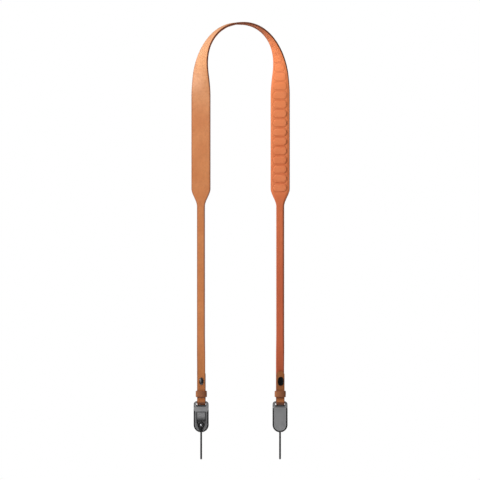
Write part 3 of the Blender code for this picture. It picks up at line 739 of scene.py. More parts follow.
@dataclass(frozen=True)
class LeatherStrap:
    """Outer leather in one length, folded back through both connectors."""

    thickness: float = 1.5 * MM
    outer_round: float = 0.35 * MM
    inner_round: float = 0.2 * MM
    middle: float = 0.9 * MM
    tab_middle: float = -2.2 * MM
    bar_middle: float = -0.65 * MM
    bend_radius: float = 3.05 * MM
    bar_top: float = 1.6 * MM
    bend_rise: float = 0.4 * MM
    tab_length: float = 39.6 * MM
    tab_shift: float = 0.5 * MM
    tip_round: float = 0.6 * MM
    tip_least: float = 0.3
    tip_painted: float = 0.98
    tip_angles: tuple[float, ...] = (74.0, 78.0, 81.0, 83.5, 85.5, 87.0)
    shoulder_step: float = 1.6 * MM
    narrow_step: float = 2.4 * MM
    fine_length: float = 5.0 * MM
    spread_rows: int = 13
    bend_rows: int = 31
    fine_rows: int = 11
    tab_rows: int = 16
    # width of the painted edge shade, and how much darker the ends get
    edge_shade_width: float = 2.2 * MM
    end_darkening: float = 0.75
    # shade field: the tab darker, a painted shadow line below the keeper and painted shade on the bend
    # inside the slot
    tab_shade: float = 0.30
    line_rise: float = 6.0 * MM
    line_width: float = 0.9 * MM
    line_shade: float = 0.85
    slot_rise: float = -0.6 * MM
    slot_fade: float = 2.0 * MM
    slot_shade: float = 0.80
    crest_from: float = 75.0 * MM
    crest_fade: float = 75.0 * MM

    @property
    def end_top(self) -> float:
        """Rise at which the strap leaves its straight line towards the bar."""
        return self.bar_top + self.bend_radius

    def end_route(self) -> tuple[Array, Array, Array, Array, Array]:
        """Middle line from the straight part, round the bar and up to the tab's tip.

        Returns:
            Depths, rises, half widths, sideways shifts and thickness shares, one for each row.
        """
        half = LINE.narrow_width / 2
        spread = np.linspace(0.0, 1.0, self.spread_rows)
        turn = np.linspace(0.0, math.pi, self.bend_rows)
        shoulder = self.tab_length - half
        near = self.end_top + self.fine_length
        tab = np.concatenate([
            np.linspace(self.end_top, near, self.fine_rows)[1:],
            np.linspace(near, shoulder, self.tab_rows)[1:],
        ])
        tip = np.radians(np.concatenate([np.linspace(0.0, 70.0, self.tab_rows)[1:], self.tip_angles]))
        into = self.middle + (self.bar_middle + self.bend_radius - self.middle) * ease(spread[1:])
        back_from = self.bar_middle - self.bend_radius
        back = back_from + (self.tab_middle - back_from) * ease(spread)
        depth = np.concatenate([
            into,
            self.bar_middle + self.bend_radius * np.cos(turn),
            back,
            np.full(len(tab) + len(tip), self.tab_middle),
        ])
        rise = np.concatenate([
            self.end_top + (self.bar_top - self.end_top) * spread[1:],
            self.bend_rise - self.bend_radius * np.sin(turn),
            self.bar_top + (self.end_top - self.bar_top) * spread,
            tab,
            shoulder + half * np.sin(tip),
        ])
        straight = len(depth) - len(tip)
        widths = np.concatenate([np.full(straight, half), half * np.cos(tip)])
        after = np.full(len(back) + len(tab) + len(tip), self.tab_shift)
        shift = np.concatenate([np.zeros(len(into)), self.tab_shift * turn / math.pi, after])
        from_tip = np.clip((self.tab_length - rise) / self.tip_round, 0.0, 1.0)
        plump = np.where(np.arange(len(depth)) < straight, 1.0, np.sqrt(1.0 - (1.0 - from_tip) ** 2))
        return depth, rise, widths, shift, np.maximum(plump, self.tip_least)

    def runs(self) -> Array:
        """Runs of the rows between both ends, finer on the shoulder than on the narrow parts."""
        last = LINE.bend_run - self.end_top
        shoulder = LINE.taper_start + LINE.taper_length
        fine = last - self.fine_length
        inner = np.linspace(-shoulder, shoulder, 2 * round(shoulder / self.shoulder_step) + 1)
        outer = np.linspace(shoulder, fine, round((fine - shoulder) / self.narrow_step) + 1)[1:]
        outer = np.concatenate([outer, np.linspace(fine, last, self.fine_rows)[1:]])
        return np.concatenate([-outer[::-1], inner, outer])

    def shade(self, rise: Array, on_tab: Array) -> Array:
        """How dark the ends are: a painted shadow line below the keeper, painted shade on the bend inside
        the slot, and the whole tab darker.

        Args:
            rise: Heights above the bend.
            on_tab: 1 on rows of the tab, 0 elsewhere.

        Returns:
            Shares between 0 and 1.
        """
        # painted shadow line below the keeper
        line = self.line_shade * fade(np.abs(rise - self.line_rise), 0.0, self.line_width)
        # painted shade on the bend inside the slot
        hidden = self.slot_shade * fade(rise, self.slot_rise, self.slot_fade)
        return np.maximum(np.maximum(line, hidden), self.tab_shade * on_tab)

    def build(self) -> bpy.types.Object:
        """Carries the section along the whole route.

        Each row's place is the middle line plus the width's direction times the place across, plus the
        outward direction times the height in the section. The outward direction stands at right angles to
        the width and to the line's own direction.

        Returns:
            The leather piece, dressed.
        """
        depth, rise, end_widths, end_shift, end_plump = self.end_route()
        runs = self.runs()
        centre, front, outward = LINE.frames(runs)
        ends = {end: LINE.at_end(end, 0.0 * depth, depth, rise) for end in End}
        middle = np.concatenate([ends[End.LEFT][::-1], centre + outward * self.middle, ends[End.RIGHT]])
        level = np.tile([1.0, 0.0, 0.0], (len(depth), 1))
        front = np.concatenate([level, front, level])
        widths = np.concatenate([end_widths[::-1], LINE.half_width(runs), end_widths])
        shift = np.concatenate([end_shift[::-1], 0.0 * runs, end_shift])
        plump = np.concatenate([end_plump[::-1], np.ones_like(runs), end_plump])
        section = Section(self.thickness / 2, -self.thickness / 2, self.outer_round, self.inner_round)
        share, offset, height, paint = section.columns()
        out = np.cross(front, np.gradient(middle, axis=0))
        out /= np.linalg.norm(out, axis=1)[:, None]
        flat = np.maximum(widths - section.margin, 0.0)
        offset = offset[None, :] * np.minimum(widths / section.margin, 1.0)[:, None]
        across = shift[:, None] + flat[:, None] * share[None, :] + offset
        points = middle[:, None, :] + front[:, None, :] * across[..., None]
        points = points + out[:, None, :] * (plump[:, None] * height[None, :])[..., None]
        # painted shade along the rounded edges
        edge_shade_and_end_dark = fade(widths[:, None] - np.abs(across - shift[:, None]), 0.0, self.edge_shade_width)
        above_bend = middle[:, 2] - LINE.bend_height
        # darker over the last stretch above each bend
        wear_and_shade = self.end_darkening * ease((np.abs(above_bend) - self.tab_length) / -self.tab_length)
        end_tab = np.where(np.arange(len(depth)) > len(depth) // 2, 1.0, 0.0)
        on_tab = np.concatenate([end_tab[::-1], 0.0 * runs, end_tab])
        end_run = np.full(len(depth), LINE.bend_run)
        from_top = np.concatenate([end_run, np.abs(runs), end_run])
        fields = {
            "paint": np.maximum(paint[None, :], (plump < self.tip_painted)[:, None]),
            "edge_shade_and_end_dark": np.maximum(edge_shade_and_end_dark, wear_and_shade[:, None]),
            "shade": self.shade(above_bend, on_tab)[:, None],
            # crest: where the painted highlight lies, near the top of the arch
            "crest": fade(from_top, self.crest_from, self.crest_fade)[:, None],
        }
        strap = tube("strap_leather_skin", points, fields=fields)
        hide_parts("strap_leather")
        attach(strap, ROOT_BODY)
        TAN.dress(strap)
        return strap


@dataclass(frozen=True)
class PaddedLining:
    """Inner lining, glued to the leather, with a row of raised pads on the shoulder part."""

    back: float = 0.13 * MM
    face: float = -1.15 * MM
    back_round: float = 0.15 * MM
    face_round: float = 0.4 * MM
    level_margin: float = 1e-9
    pad_count: int = 41
    pad_length: float = 9.4 * MM
    pad_width: float = 18.6 * MM
    pad_corner: float = 2.8 * MM
    pad_relief: float = 0.8 * MM
    pad_bevel: float = 0.65 * MM
    ridge_round: float = 0.3 * MM
    corner_round: float = 0.5 * MM
    crown: float = 0.15 * MM
    groove: float = 0.15 * MM
    groove_width: float = 0.6 * MM
    groove_place: float = 0.35 * MM
    groove_end: float = 0.5 * MM
    groove_fade: float = 1.0 * MM
    stretched_relief: float = 0.2
    stretched_to: float = 85.0 * MM
    full_after: float = 70.0 * MM
    thin_share: float = 0.35
    thin_width: float = 0.26
    edge_tone: float = 0.5
    apex_shade_to: float = 22.0 * MM
    apex_shade_fade: float = 30.0 * MM
    pad_shift: float = 0.6 * MM
    taper_red_and_shade: float = 0.45
    leg_red_and_shade: float = 0.55
    red_and_shade_over: float = 110.0 * MM
    crest_from: float = 100.0 * MM
    crest_fade: float = 130.0 * MM
    end_above_bend: float = 6.4 * MM
    rows_to_pad: int = 20
    row_gather: float = 0.6
    taper_rows: int = 19
    narrow_step: float = 3.0 * MM
    back_columns: int = 4
    face_columns: int = 54

    def outline_distance(self, run: Array, across: Array) -> Array:
        """Distance from the nearest pad's outline, negative inside: a box with cut corners, rounded."""
        pitch = 2.0 * LINE.shoulder_end / self.pad_count
        along = np.abs((run + LINE.shoulder_end) % pitch - pitch / 2) - self.pad_length / 2
        side = np.abs(across - self.pad_shift) - self.pad_width / 2
        cut = (along + side + self.pad_corner) / math.sqrt(2.0)
        distance = soft_max(soft_max(along, side, self.ridge_round), cut, self.corner_round)
        return np.maximum(distance, np.abs(run) - LINE.shoulder_end)

    def relief(self, run: Array, across: Array) -> tuple[Array, Array]:
        """Height of the face above its base, and how deep in a crease a point lies.

        A pad rises over its bevel as an eased step and goes on as a low crown. A shallow groove, a bell
        curve of the distance, is pressed round each outline. The pads are pulled flatter at the top.

        Args:
            run: Lengths from the top.
            across: Offsets across the strap.

        Returns:
            The height in metres and the crease between 0 and 1.
        """
        distance = self.outline_distance(run, across)
        rise = ease(-distance / self.pad_bevel)
        crown = ease(-distance / (self.pad_length / 2))
        bell = np.exp(-((distance - self.groove_place) / self.groove_width) ** 2)
        near = ease((LINE.shoulder_end + self.groove_end - np.abs(run)) / self.groove_fade)
        height = self.pad_relief * rise + self.crown * crown - self.groove * bell * near
        full = ease((np.abs(run) - self.stretched_to) / self.full_after)
        height = height * (self.stretched_relief + (1.0 - self.stretched_relief) * full)
        return height, bell * near * (1.0 - rise)

    def runs(self) -> Array:
        """Runs of the rows, close together where the pads are, and closest between two of them.

        Within a pad's share of the length, the place is the even one plus a sine of it.
        """
        count = np.arange(self.pad_count * self.rows_to_pad + 1) / self.rows_to_pad
        place = count + self.row_gather * np.sin(2.0 * math.pi * (count - 0.5)) / (2.0 * math.pi)
        shoulder = LINE.shoulder_end * (2.0 * place / self.pad_count - 1.0)
        taper_end = LINE.taper_start + LINE.taper_length
        taper = np.linspace(LINE.shoulder_end, taper_end, self.taper_rows)[1:]
        last = LINE.bend_run - self.end_above_bend
        narrow = np.linspace(taper_end, last, round((last - taper_end) / self.narrow_step) + 1)[1:]
        tail = np.concatenate([taper, narrow])
        return np.concatenate([-tail[::-1], shoulder, tail])

    def build(self) -> bpy.types.Object:
        """Carries the lining's section along the strap and raises the pads on its face.

        Returns:
            The lining piece, dressed.
        """
        runs = self.runs()
        taper_end = LINE.taper_start + LINE.taper_length
        centre, front, outward = LINE.frames(runs)
        section = Section(
            self.back, self.face, self.back_round, self.face_round,
            top_columns=self.back_columns, foot_columns=self.face_columns,
        )
        share, offset, depth, paint = section.columns()
        widths = LINE.half_width(runs)[:, None]
        across = (widths - section.margin) * share[None, :] + offset[None, :]
        height, crease = self.relief(runs[:, None], across)
        facing = (depth <= self.face + self.level_margin)[None, :]
        height = np.where(facing, height, 0.0)
        inside = ease((widths - np.abs(across)) / (self.thin_width * widths))
        thick = self.thin_share + (1.0 - self.thin_share) * inside
        drop = self.back + (depth[None, :] - self.back) * thick - height
        points = centre[:, None, :] + front[:, None, :] * across[..., None]
        points = points + outward[:, None, :] * drop[..., None]
        from_top = np.abs(runs)[:, None]
        # redder and darker towards the ends: the redness is the lining's tone, the darkening painted shade
        narrow = self.taper_red_and_shade * ease((from_top - LINE.taper_start) / LINE.taper_length)
        narrow = narrow + self.leg_red_and_shade * ease((from_top - taper_end) / self.red_and_shade_over)
        # painted shade near the top of the arch, where the lining's edges are painted fully dark too
        dark = fade(from_top, self.apex_shade_to, self.apex_shade_fade)
        lining = tube(
            "strap_lining_skin",
            points,
            fields={
                "paint": paint * (self.edge_tone + (1.0 - self.edge_tone) * dark),
                "wear_and_shade": dark,
                "relief": np.clip(height / self.pad_relief, 0.0, 1.0),
                "crease": np.where(facing, crease, 0.0),
                "narrow": narrow,
                # crest: where the painted highlight lies, near the top of the arch
                "crest": fade(from_top, self.crest_from, self.crest_fade),
            },
        )
        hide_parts("strap_lining")
        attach(lining, ROOT_BODY)
        ORANGE.dress(lining)
        return lining


def rounded_box(half_across: float, low: float, high: float, corner: float, steps: int, sides: int) -> Array:
    """Closed outline of a box with rounded corners: quarter arcs with straight points between them.

    Args:
        half_across: Half the width.
        low: Lowest depth.
        high: Highest depth.
        corner: Radius of the corners.
        steps: Points in each corner.
        sides: Points added along each straight side.

    Returns:
        Array of (across, depth) places.
    """
    angle = np.linspace(0.0, math.pi / 2, steps)
    across = half_across - corner
    above, below = high - corner, low + corner
    centres = [(across, above), (-across, above), (-across, below), (across, below)]
    arcs = [
        np.stack([x + corner * np.cos(angle + turn), y + corner * np.sin(angle + turn)], axis=-1)
        for (x, y), turn in zip(centres, np.arange(4) * math.pi / 2)
    ]
    share = np.linspace(0.0, 1.0, sides + 2)[1:-1, None]
    pieces = []
    for arc, following in zip(arcs, arcs[1:] + arcs[:1]):
        pieces += [arc, arc[-1] + (following[0] - arc[-1]) * share]
    return np.concatenate(pieces)


@dataclass(frozen=True)
class Keeper:
    """Leather loop round strap and tab."""

    height: float = 7.8 * MM
    wall: float = 1.25 * MM
    above_bend: float = 10.6 * MM
    half_inside: float = 5.65 * MM
    low: float = -3.25 * MM
    high: float = 1.95 * MM
    corner: float = 2.1 * MM
    inner_corner: float = 0.2 * MM
    shift: float = 0.25 * MM
    edge_round: float = 0.42 * MM
    bulge: float = 0.16 * MM
    crown: float = 0.35 * MM
    paint_from: float = 0.75 * MM
    paint_fade: float = 0.6 * MM
    edge_shade_share: float = 0.6
    side_shade: float = 0.6
    corner_points: int = 9
    side_points: int = 8
    edge_points: int = 6
    climb_points: int = 9

    def build(self, end: End) -> bpy.types.Object:
        """Carries a rounded wall section round a box outline.

        Each point lies between the inner and the outer outline by its share of the wall, and the outer face
        bulges a little half way up.

        Args:
            end: The strap end that it sits on.

        Returns:
            The keeper, dressed.
        """
        half_outside = self.half_inside + self.wall
        counts = (self.corner_points, self.side_points)
        inner = rounded_box(self.half_inside, self.low, self.high, self.inner_corner, *counts)
        outer = rounded_box(half_outside, self.low - self.wall, self.high + self.wall, self.corner, *counts)
        reach = outer[:, 0] / half_outside
        outer[:, 1] += np.sign(outer[:, 1] - (self.low + self.high) / 2) * self.crown * (1.0 - reach ** 2)
        turn = np.linspace(0.0, math.pi / 2, self.edge_points)
        share_round = self.edge_round / self.wall
        half = self.height / 2
        rise_arc = half - self.edge_round * (1.0 - np.sin(turn))
        share_arc = 1.0 - share_round * (1.0 - np.cos(turn))
        climb = np.linspace(-half + self.edge_round, half - self.edge_round, self.climb_points)[1:-1]
        share = np.concatenate([
            share_arc, 1.0 - share_arc[::-1], 0.0 * climb,
            1.0 - share_arc, share_arc[::-1], np.ones_like(climb),
        ])
        rise = np.concatenate([rise_arc, rise_arc[::-1], climb[::-1], -rise_arc, -rise_arc[::-1], climb])
        swell = self.bulge * (1.0 - (rise / half) ** 2) * (share > 0.5) / self.wall
        places = inner[None] + (outer - inner)[None] * (share + swell)[:, None, None]
        across, depth = places[..., 0] + self.shift, places[..., 1]
        points = LINE.at_end(end, across, depth, (self.above_bend + rise)[:, None])
        edge = ease((np.abs(rise) - half + self.paint_from) / self.paint_fade)[:, None]
        # painted shade: darker towards +X, as if the keeper were lit from the left
        shade = self.side_shade * ease(reach * 0.5 + 0.45)[None, :]
        # painted shade, a little darker along the keeper's top and bottom edges
        fields = {"paint": edge, "edge_shade_and_end_dark": edge * self.edge_shade_share, "shade": shade}
        keeper = tube(f"keeper_{end.value}_loop", points, Cover.JOINED, fields)
        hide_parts(f"keeper_{end.value}")
        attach(keeper, ROOT_BODY)
        BROWN.dress(keeper)
        return keeper


def oval_rings(half_across: float, half_rise: float, roundness: float, count: int) -> tuple[Array, Array]:
    """Outline of a squarish oval: the sign and a power of the angle's cosine and sine.

    Args:
        half_across: Half the width.
        half_rise: Half the height.
        roundness: 2 for an ellipse, more for a squarer one.
        count: Number of points.

    Returns:
        Places across and along the rise.
    """
    angle = 2.0 * math.pi * np.arange(count) / count
    cosine, sine = np.cos(angle), np.sin(angle)
    power = 2.0 / roundness
    return (
        half_across * np.sign(cosine) * np.abs(cosine) ** power,
        half_rise * np.sign(sine) * np.abs(sine) ** power,
    )


@dataclass(frozen=True)
class Button:
    """Oval button whose face is a stack of rings: each has a share of the size and a height."""

    width: float
    height: float
    roundness: float
    shares: tuple[float, ...]
    lifts: tuple[float, ...]
    points: int = 64

    def build(
        self, name: str, end: End, seat: float, across: float, rise: float, outward: float
    ) -> bpy.types.Object:
        """Makes the button on a seat.

        Args:
            name: Name of the piece.
            end: The strap end that it sits on.
            seat: Depth of the surface that it sits on.
            across: Its middle across the strap.
            rise: Its middle above the bend.
            outward: 1 where it faces out of the leather, -1 where it faces the other way.

        Returns:
            The button.
        """
        x, z = oval_rings(self.width / 2, self.height / 2, self.roundness, self.points)
        share = np.array(self.shares)[:, None]
        depth = seat + outward * np.array(self.lifts)[:, None]
        points = LINE.at_end(end, across + share * x, depth + 0.0 * x, rise + share * z)
        return tube(name, points, smooth_angle=math.radians(50.0))


@dataclass(frozen=True)
class Stud:
    """Domed stud on the leather and flat cap on the tab."""

    above_bend: float = 26.4 * MM
    shift: float = 0.25 * MM
    cap_shift: float = 0.75 * MM
    dome_seat: float = 1.65 * MM
    cap_seat: float = -2.95 * MM

    def dome(self) -> Button:
        """High dome with a thin foot: the rings' shares follow a circle's cosine, their heights its sine."""
        angle = np.radians(np.linspace(0.0, 84.0, 14))
        shares = (0.985, 1.0, *np.cos(angle[1:]))
        lifts = (0.0, 0.12 * MM, *(0.35 * MM + 1.75 * MM * np.sin(angle[1:])))
        return Button(5.4 * MM, 9.5 * MM, 2.1, tuple(shares), tuple(lifts))

    def cap(self) -> Button:
        """Flat cap with a rounded edge, a narrow raised rim and a shallow dish inside it."""
        shares = (0.97, 1.0, 1.0, 0.985, 0.95, 0.90, 0.84, 0.80, 0.60, 0.30, 0.06)
        lifts = (0.0, 0.15, 0.95, 1.30, 1.50, 1.58, 1.56, 1.44, 1.40, 1.39, 1.39)
        return Button(7.2 * MM, 11.0 * MM, 2.5, shares, tuple(lift * MM for lift in lifts))

    def build(self, end: End) -> list[bpy.types.Object]:
        """Makes the dome and the cap of one end."""
        dome = self.dome().build(
            f"stud_dome_{end.value}_head", end, self.dome_seat, self.shift, self.above_bend, 1.0
        )
        cap = self.cap().build(
            f"stud_cap_{end.value}_plate", end, self.cap_seat, self.cap_shift, self.above_bend, -1.0
        )
        for piece, node, finish in ((dome, "stud_dome_", GLOSS), (cap, "stud_cap_", SATIN)):
            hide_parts(node + end.value)
            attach(piece, ROOT_BODY)
            finish.dress(piece)
        return [dome, cap]


# ---------------------------------------------------------------------------
# Connectors and cords


@dataclass(frozen=True)
class Connector:
    """Quick-release connector: slotted top, sloped front, window, recess and neck.

    A level of body or plate is the distance from its back or front face and how far the outline is inset
    there. A level of the lip is the distance before the front face and how far the window grows there.
    """

    width: float = 18.8 * MM
    top: float = 1.6 * MM
    foot: float = -37.3 * MM
    corner: float = 4.0 * MM
    body_corner: float = 2.2 * MM
    bar_middle: float = -0.65 * MM
    bar_thickness: float = 4.0 * MM
    bar_bevel: float = 0.8 * MM
    bar_foot: float = -0.8 * MM
    slot_foot: float = -5.1 * MM
    slot_ridge: float = -3.48 * MM
    slot_width: float = 12.1 * MM
    slot_corner: float = 1.2 * MM
    # how the faces are marked for painted shade
    shade_lean: float = 0.875
    top_shade: float = 0.15
    face_shade: float = 0.52
    window_top: float = -11.6 * MM
    body_back: float = -4.0 * MM
    body_front: float = 4.8 * MM
    recess_floor: float = -1.6 * MM
    window_half: float = 5.3 * MM
    neck_half: float = 1.75 * MM
    anchor_rise: float = -28.0 * MM
    anchor_radius: float = 3.6 * MM
    wide_share: float = 0.97
    knee_share: float = 0.79
    neck_share: float = 1.67
    lip_top_share: float = 0.6
    body_step: float = 0.3 * MM
    edge_round: float = 0.16 * MM
    back_levels: Table = ((0.0, 1.75 * MM), (0.2 * MM, 1.4 * MM), (1.5 * MM, 0.08 * MM), (1.8 * MM, 0.0))
    front_levels: Table = ((1.7 * MM, 0.0), (1.4 * MM, 0.12 * MM), (0.12 * MM, 1.75 * MM), (0.0, 2.0 * MM))
    plate_levels: Table = ((0.0, 0.9 * MM), (0.2 * MM, 0.55 * MM), (0.8 * MM, 0.1 * MM))
    lip_levels: Table = ((-0.5 * MM, -0.05 * MM), (0.0, 0.45 * MM), (0.45 * MM, 0.9 * MM))

    @property
    def plate_back(self) -> float:
        """Depth of the slotted top's back."""
        return self.bar_middle - self.bar_thickness / 2

    @property
    def plate_front(self) -> float:
        """Depth of the slotted top's front."""
        return self.bar_middle + self.bar_thickness / 2

    @property
    def body_top(self) -> float:
        """Rise of the thick body's top edge."""
        return self.slot_foot - self.body_step

    def outline(self, inset: Array, top: float, corner: float) -> Array:
        """Rings of (across, rise) places: rounded shoulders above and a half circle below.

        Args:
            inset: How far each ring lies inside the full outline.
            top: Rise of the top edge.
            corner: Radius of the shoulders.

        Returns:
            Array of (rings, points, 2) places.
        """
        inset = inset[:, None]
        half = self.width / 2 - inset
        radius = corner - inset
        turn = np.linspace(0.0, math.pi / 2, 12)[None, :]
        swing = np.linspace(math.pi, 2.0 * math.pi, 57)[None, :]
        centre = self.foot + self.width / 2
        flat = half - radius
        across = [flat + radius * np.cos(turn), radius - half - radius * np.sin(turn), half * np.cos(swing)]
        high = top - inset - radius
        rise = [high + radius * np.sin(turn), high + radius * np.cos(turn), centre + half * np.sin(swing)]
        return np.stack([np.concatenate(across, axis=1), np.concatenate(rise, axis=1)], axis=-1)

    def plate(
        self, name: str, end: End, levels: Sequence[tuple[float, float]], top: float, corner: float
    ) -> bpy.types.Object:
        """Closed plate with the connector's outline, from (depth, inset) levels."""
        depth, inset = np.array(levels).T
        return self.prism(name, end, self.outline(inset, top, corner), depth)

    @staticmethod
    def prism(name: str, end: End, outline: Array, depths: Sequence[float]) -> bpy.types.Object:
        """Solid that runs from front to back, from rings of (across, rise) places, one for each depth."""
        depth = np.array(depths)[:, None]
        rings = np.broadcast_to(outline, (len(depths), *outline.shape[-2:]))
        return tube(name, LINE.at_end(end, rings[..., 0], depth, rings[..., 1]))

    def slope(self, end: End) -> bpy.types.Object:
        """Solid that is cut away in front of the slot, down to the sloped face."""
        beyond = self.width
        profile = np.array([
            (self.plate_front, self.body_top + self.body_step),
            (self.body_front, self.window_top),
            (self.body_front + beyond, self.window_top),
            (self.body_front + beyond, self.body_top + beyond),
            (self.plate_front, self.body_top + beyond),
        ])
        across = np.array([-beyond, beyond])[:, None]
        return tube("slope_cut", LINE.at_end(end, across, profile[None, :, 0], profile[None, :, 1]))

    def slot(self, end: End) -> bpy.types.Object:
        """Solid that is cut out for the strap, flared at both faces so that the bar's edges are eased."""
        back, front, bevel = self.plate_back, self.plate_front, self.bar_bevel
        depths = (back - self.width, back, back + bevel, front - bevel, front, front + self.width)
        flares = (bevel, bevel, 0.0, 0.0, bevel, bevel)
        rings = np.stack([
            rounded_box(
                self.slot_width / 2 + 0.5 * flare,
                self.slot_ridge - (self.slot_ridge - self.slot_foot) * flare / bevel,
                self.bar_foot + flare,
                self.slot_corner,
                7,
                0,
            )
            for flare in flares
        ])
        return self.prism("slot_cut", end, rings, depths)

    def window(self, grow: float) -> Array:
        """Ring of (across, rise) places round window, recess and neck, grown by a margin."""
        radius = self.anchor_radius
        right = np.array([
            (self.window_half + grow, self.window_top + self.lip_top_share * grow),
            (self.window_half + grow, self.anchor_rise + self.wide_share * radius),
            (radius + grow, self.anchor_rise - self.knee_share * radius),
            (self.neck_half + grow, self.anchor_rise - self.neck_share * radius),
            (self.neck_half + grow, self.foot - radius),
        ])
        return np.concatenate([right, right[::-1] * (-1.0, 1.0)])

    def recess(self, end: End) -> bpy.types.Object:
        """Solid that is cut out for window, recess and neck, from the recess's floor outwards."""
        depths = (self.recess_floor, self.body_front + self.width)
        return self.prism("recess_cut", end, self.window(0.0), depths)

    def lip(self, end: End) -> bpy.types.Object:
        """Solid that chamfers the window's edge at the front face: the recess, widening outwards."""
        rings = np.stack([self.window(grow) for _, grow in self.lip_levels])
        return self.prism("lip_cut", end, rings, [self.body_front + step for step, _ in self.lip_levels])

    def mark_shaded_faces(self, housing: bpy.types.Object, end: End) -> None:
        """Marks the faces that get painted shade: those that lean away from front and back, and half the
        front face.

        The flares of the slot, in shade below the strap, are marked too. The body's top edge at the back is
        hardly marked.

        Args:
            housing: The finished solid.
            end: The strap end that it hangs on.
        """
        faces = housing.data.polygons
        normal = np.empty(3 * len(faces))
        centre = np.empty(3 * len(faces))
        faces.foreach_get("normal", normal)
        faces.foreach_get("center", centre)
        lean = normal.reshape(-1, 3)[:, 1] * end.side
        upwards = normal.reshape(-1, 3)[:, 2]
        depth = centre.reshape(-1, 3)[:, 1] * end.side
        rise = centre.reshape(-1, 3)[:, 2] - LINE.bend_height
        front = (lean > 0.97) & (depth > self.body_front - 0.2 * MM)
        flare = (rise > self.slot_foot) & (rise < self.slot_ridge) & (np.abs(lean) < 0.97)
        behind = (lean < -0.1) & (upwards > 0.3) & (rise < self.slot_foot)
        # painted shade on side faces and slot flares, and half on the front face
        rim = np.where((np.abs(lean) < self.shade_lean) | flare, 1.0, np.where(front, self.face_shade, 0.0))
        rim = np.where(behind, self.top_shade, rim)
        layer = housing.data.attributes.new("rim", "FLOAT", "FACE")
        layer.data.foreach_set("value", rim.astype(np.float32))

    def build(self, end: End) -> bpy.types.Object:
        """Joins the thin slotted top to the thick body, then cuts slope, slot, recess and lip.

        Args:
            end: The strap end that it hangs on.

        Returns:
            The housing, dressed.
        """
        body = [(self.body_back + step, inset) for step, inset in self.back_levels]
        body += [(self.body_front - step, inset) for step, inset in self.front_levels]
        plate = [(self.plate_back + step, inset) for step, inset in self.plate_levels]
        plate += [(self.plate_front - step, inset) for step, inset in self.plate_levels[::-1]]
        housing = self.plate(f"connector_{end.value}_body", end, body, self.body_top, self.body_corner)
        top = self.plate("slotted_top", end, plate, self.top, self.corner)
        carve(housing, [
            ("UNION", top),
            ("DIFFERENCE", self.slope(end)),
            ("DIFFERENCE", self.slot(end)),
            ("DIFFERENCE", self.recess(end)),
            ("DIFFERENCE", self.lip(end)),
        ])
        self.mark_shaded_faces(housing, end)
        soften(housing, self.edge_round)
        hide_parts(f"connector_housing_{end.value}")
        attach(housing, ROOT_BODY)
        GUNMETAL.dress(housing)
        return housing


@dataclass(frozen=True)
class Latch:
    """Sprung plate in the connector's window, curled inwards at its lower end."""

    half_width: float = 5.0 * MM
    front: float = 4.8 * MM
    thickness: float = 1.3 * MM
    top: float = -12.25 * MM
    foot: float = -23.45 * MM
    dip: float = 1.45 * MM
    curl_from: float = 0.58
    back_dip_share: float = 0.85
    shade_from: float = 0.35
    edge_round: float = 0.22 * MM
    rows: int = 22
    columns: int = 9

    def build(self, end: End) -> bpy.types.Object:
        """Carries the plate's side view across: the curl is the square of the way down past its start.

        Args:
            end: The strap end whose connector holds it.

        Returns:
            The latch plate, dressed, on the body that swings.
        """
        share = np.linspace(0.0, 1.0, self.rows)
        drop = self.dip * np.clip((share - self.curl_from) / (1.0 - self.curl_from), 0.0, 1.0) ** 2
        rise = self.top + (self.foot - self.top) * share
        behind = self.front - self.thickness - self.back_dip_share * drop
        depth = np.concatenate([self.front - drop, behind[::-1]])
        rises = np.concatenate([rise, rise[::-1]])
        across = np.linspace(-self.half_width, self.half_width, self.columns)[:, None]
        points = LINE.at_end(end, across, depth[None, :], rises[None, :])
        # painted shade: darker down the curl, where it turns into the recess
        dark = ease((share - self.shade_from) / (1.0 - self.shade_from))
        fields = {"rim": np.concatenate([dark, dark[::-1]])}
        plate = tube(f"latch_{end.value}_plate", points, fields=fields, smooth_angle=math.radians(30.0))
        soften(plate, self.edge_round)
        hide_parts(f"latch_plate_{end.value}")
        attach(plate, f"latch_{end.value}")
        LATCH_GREY.dress(plate)
        return plate


@dataclass(frozen=True)
class Anchor:
    """Black anchor disc in the recess, with a small bright dome."""

    rise: float = -28.0 * MM
    radius: float = 3.6 * MM
    back: float = -1.2 * MM
    thickness: float = 3.8 * MM
    dome_radius: float = 1.6 * MM
    dome_rise: float = 1.1 * MM

    def build(self, end: End) -> list[bpy.types.Object]:
        """Makes the disc, whose edge is rounded and whose face is dished round the dome, and the dome.

        Args:
            end: The strap end whose connector holds it.

        Returns:
            Disc and dome, dressed.
        """
        thickness = self.thickness / MM
        shares = (0.82, 0.93, 0.98, 1.0, 1.0, 0.98, 0.93, 0.84, 0.74, 0.66, 0.56, 0.50, 0.25)
        below_face = (0.65, 0.3, 0.1, 0.0, 0.02, 0.3, 0.34, 0.02, 0.0)
        lifts = (0.0, 0.1, 0.3, 0.65, *(thickness - below for below in below_face))
        size = 2.0 * self.radius
        disc = Button(size, size, 2.0, shares, tuple(lift * MM for lift in lifts)).build(
            f"anchor_{end.value}_disc", end, self.back, 0.0, self.rise, 1.0
        )
        angle = np.radians(np.linspace(0.0, 82.0, 10))
        dome_lifts = (0.0, *(0.25 * MM + (self.dome_rise - 0.25 * MM) * np.sin(angle)))
        dome_size = 2.0 * self.dome_radius
        dome = Button(dome_size, dome_size, 2.0, (1.0, *np.cos(angle)), dome_lifts).build(
            f"anchor_{end.value}_rivet", end, self.back + self.thickness, 0.0, self.rise, 1.0
        )
        for piece, node, finish in ((disc, "anchor_disc_", PLASTIC), (dome, "anchor_rivet_", STEEL)):
            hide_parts(node + end.value)
            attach(piece, ROOT_BODY)
            finish.dress(piece)
        return [disc, dome]


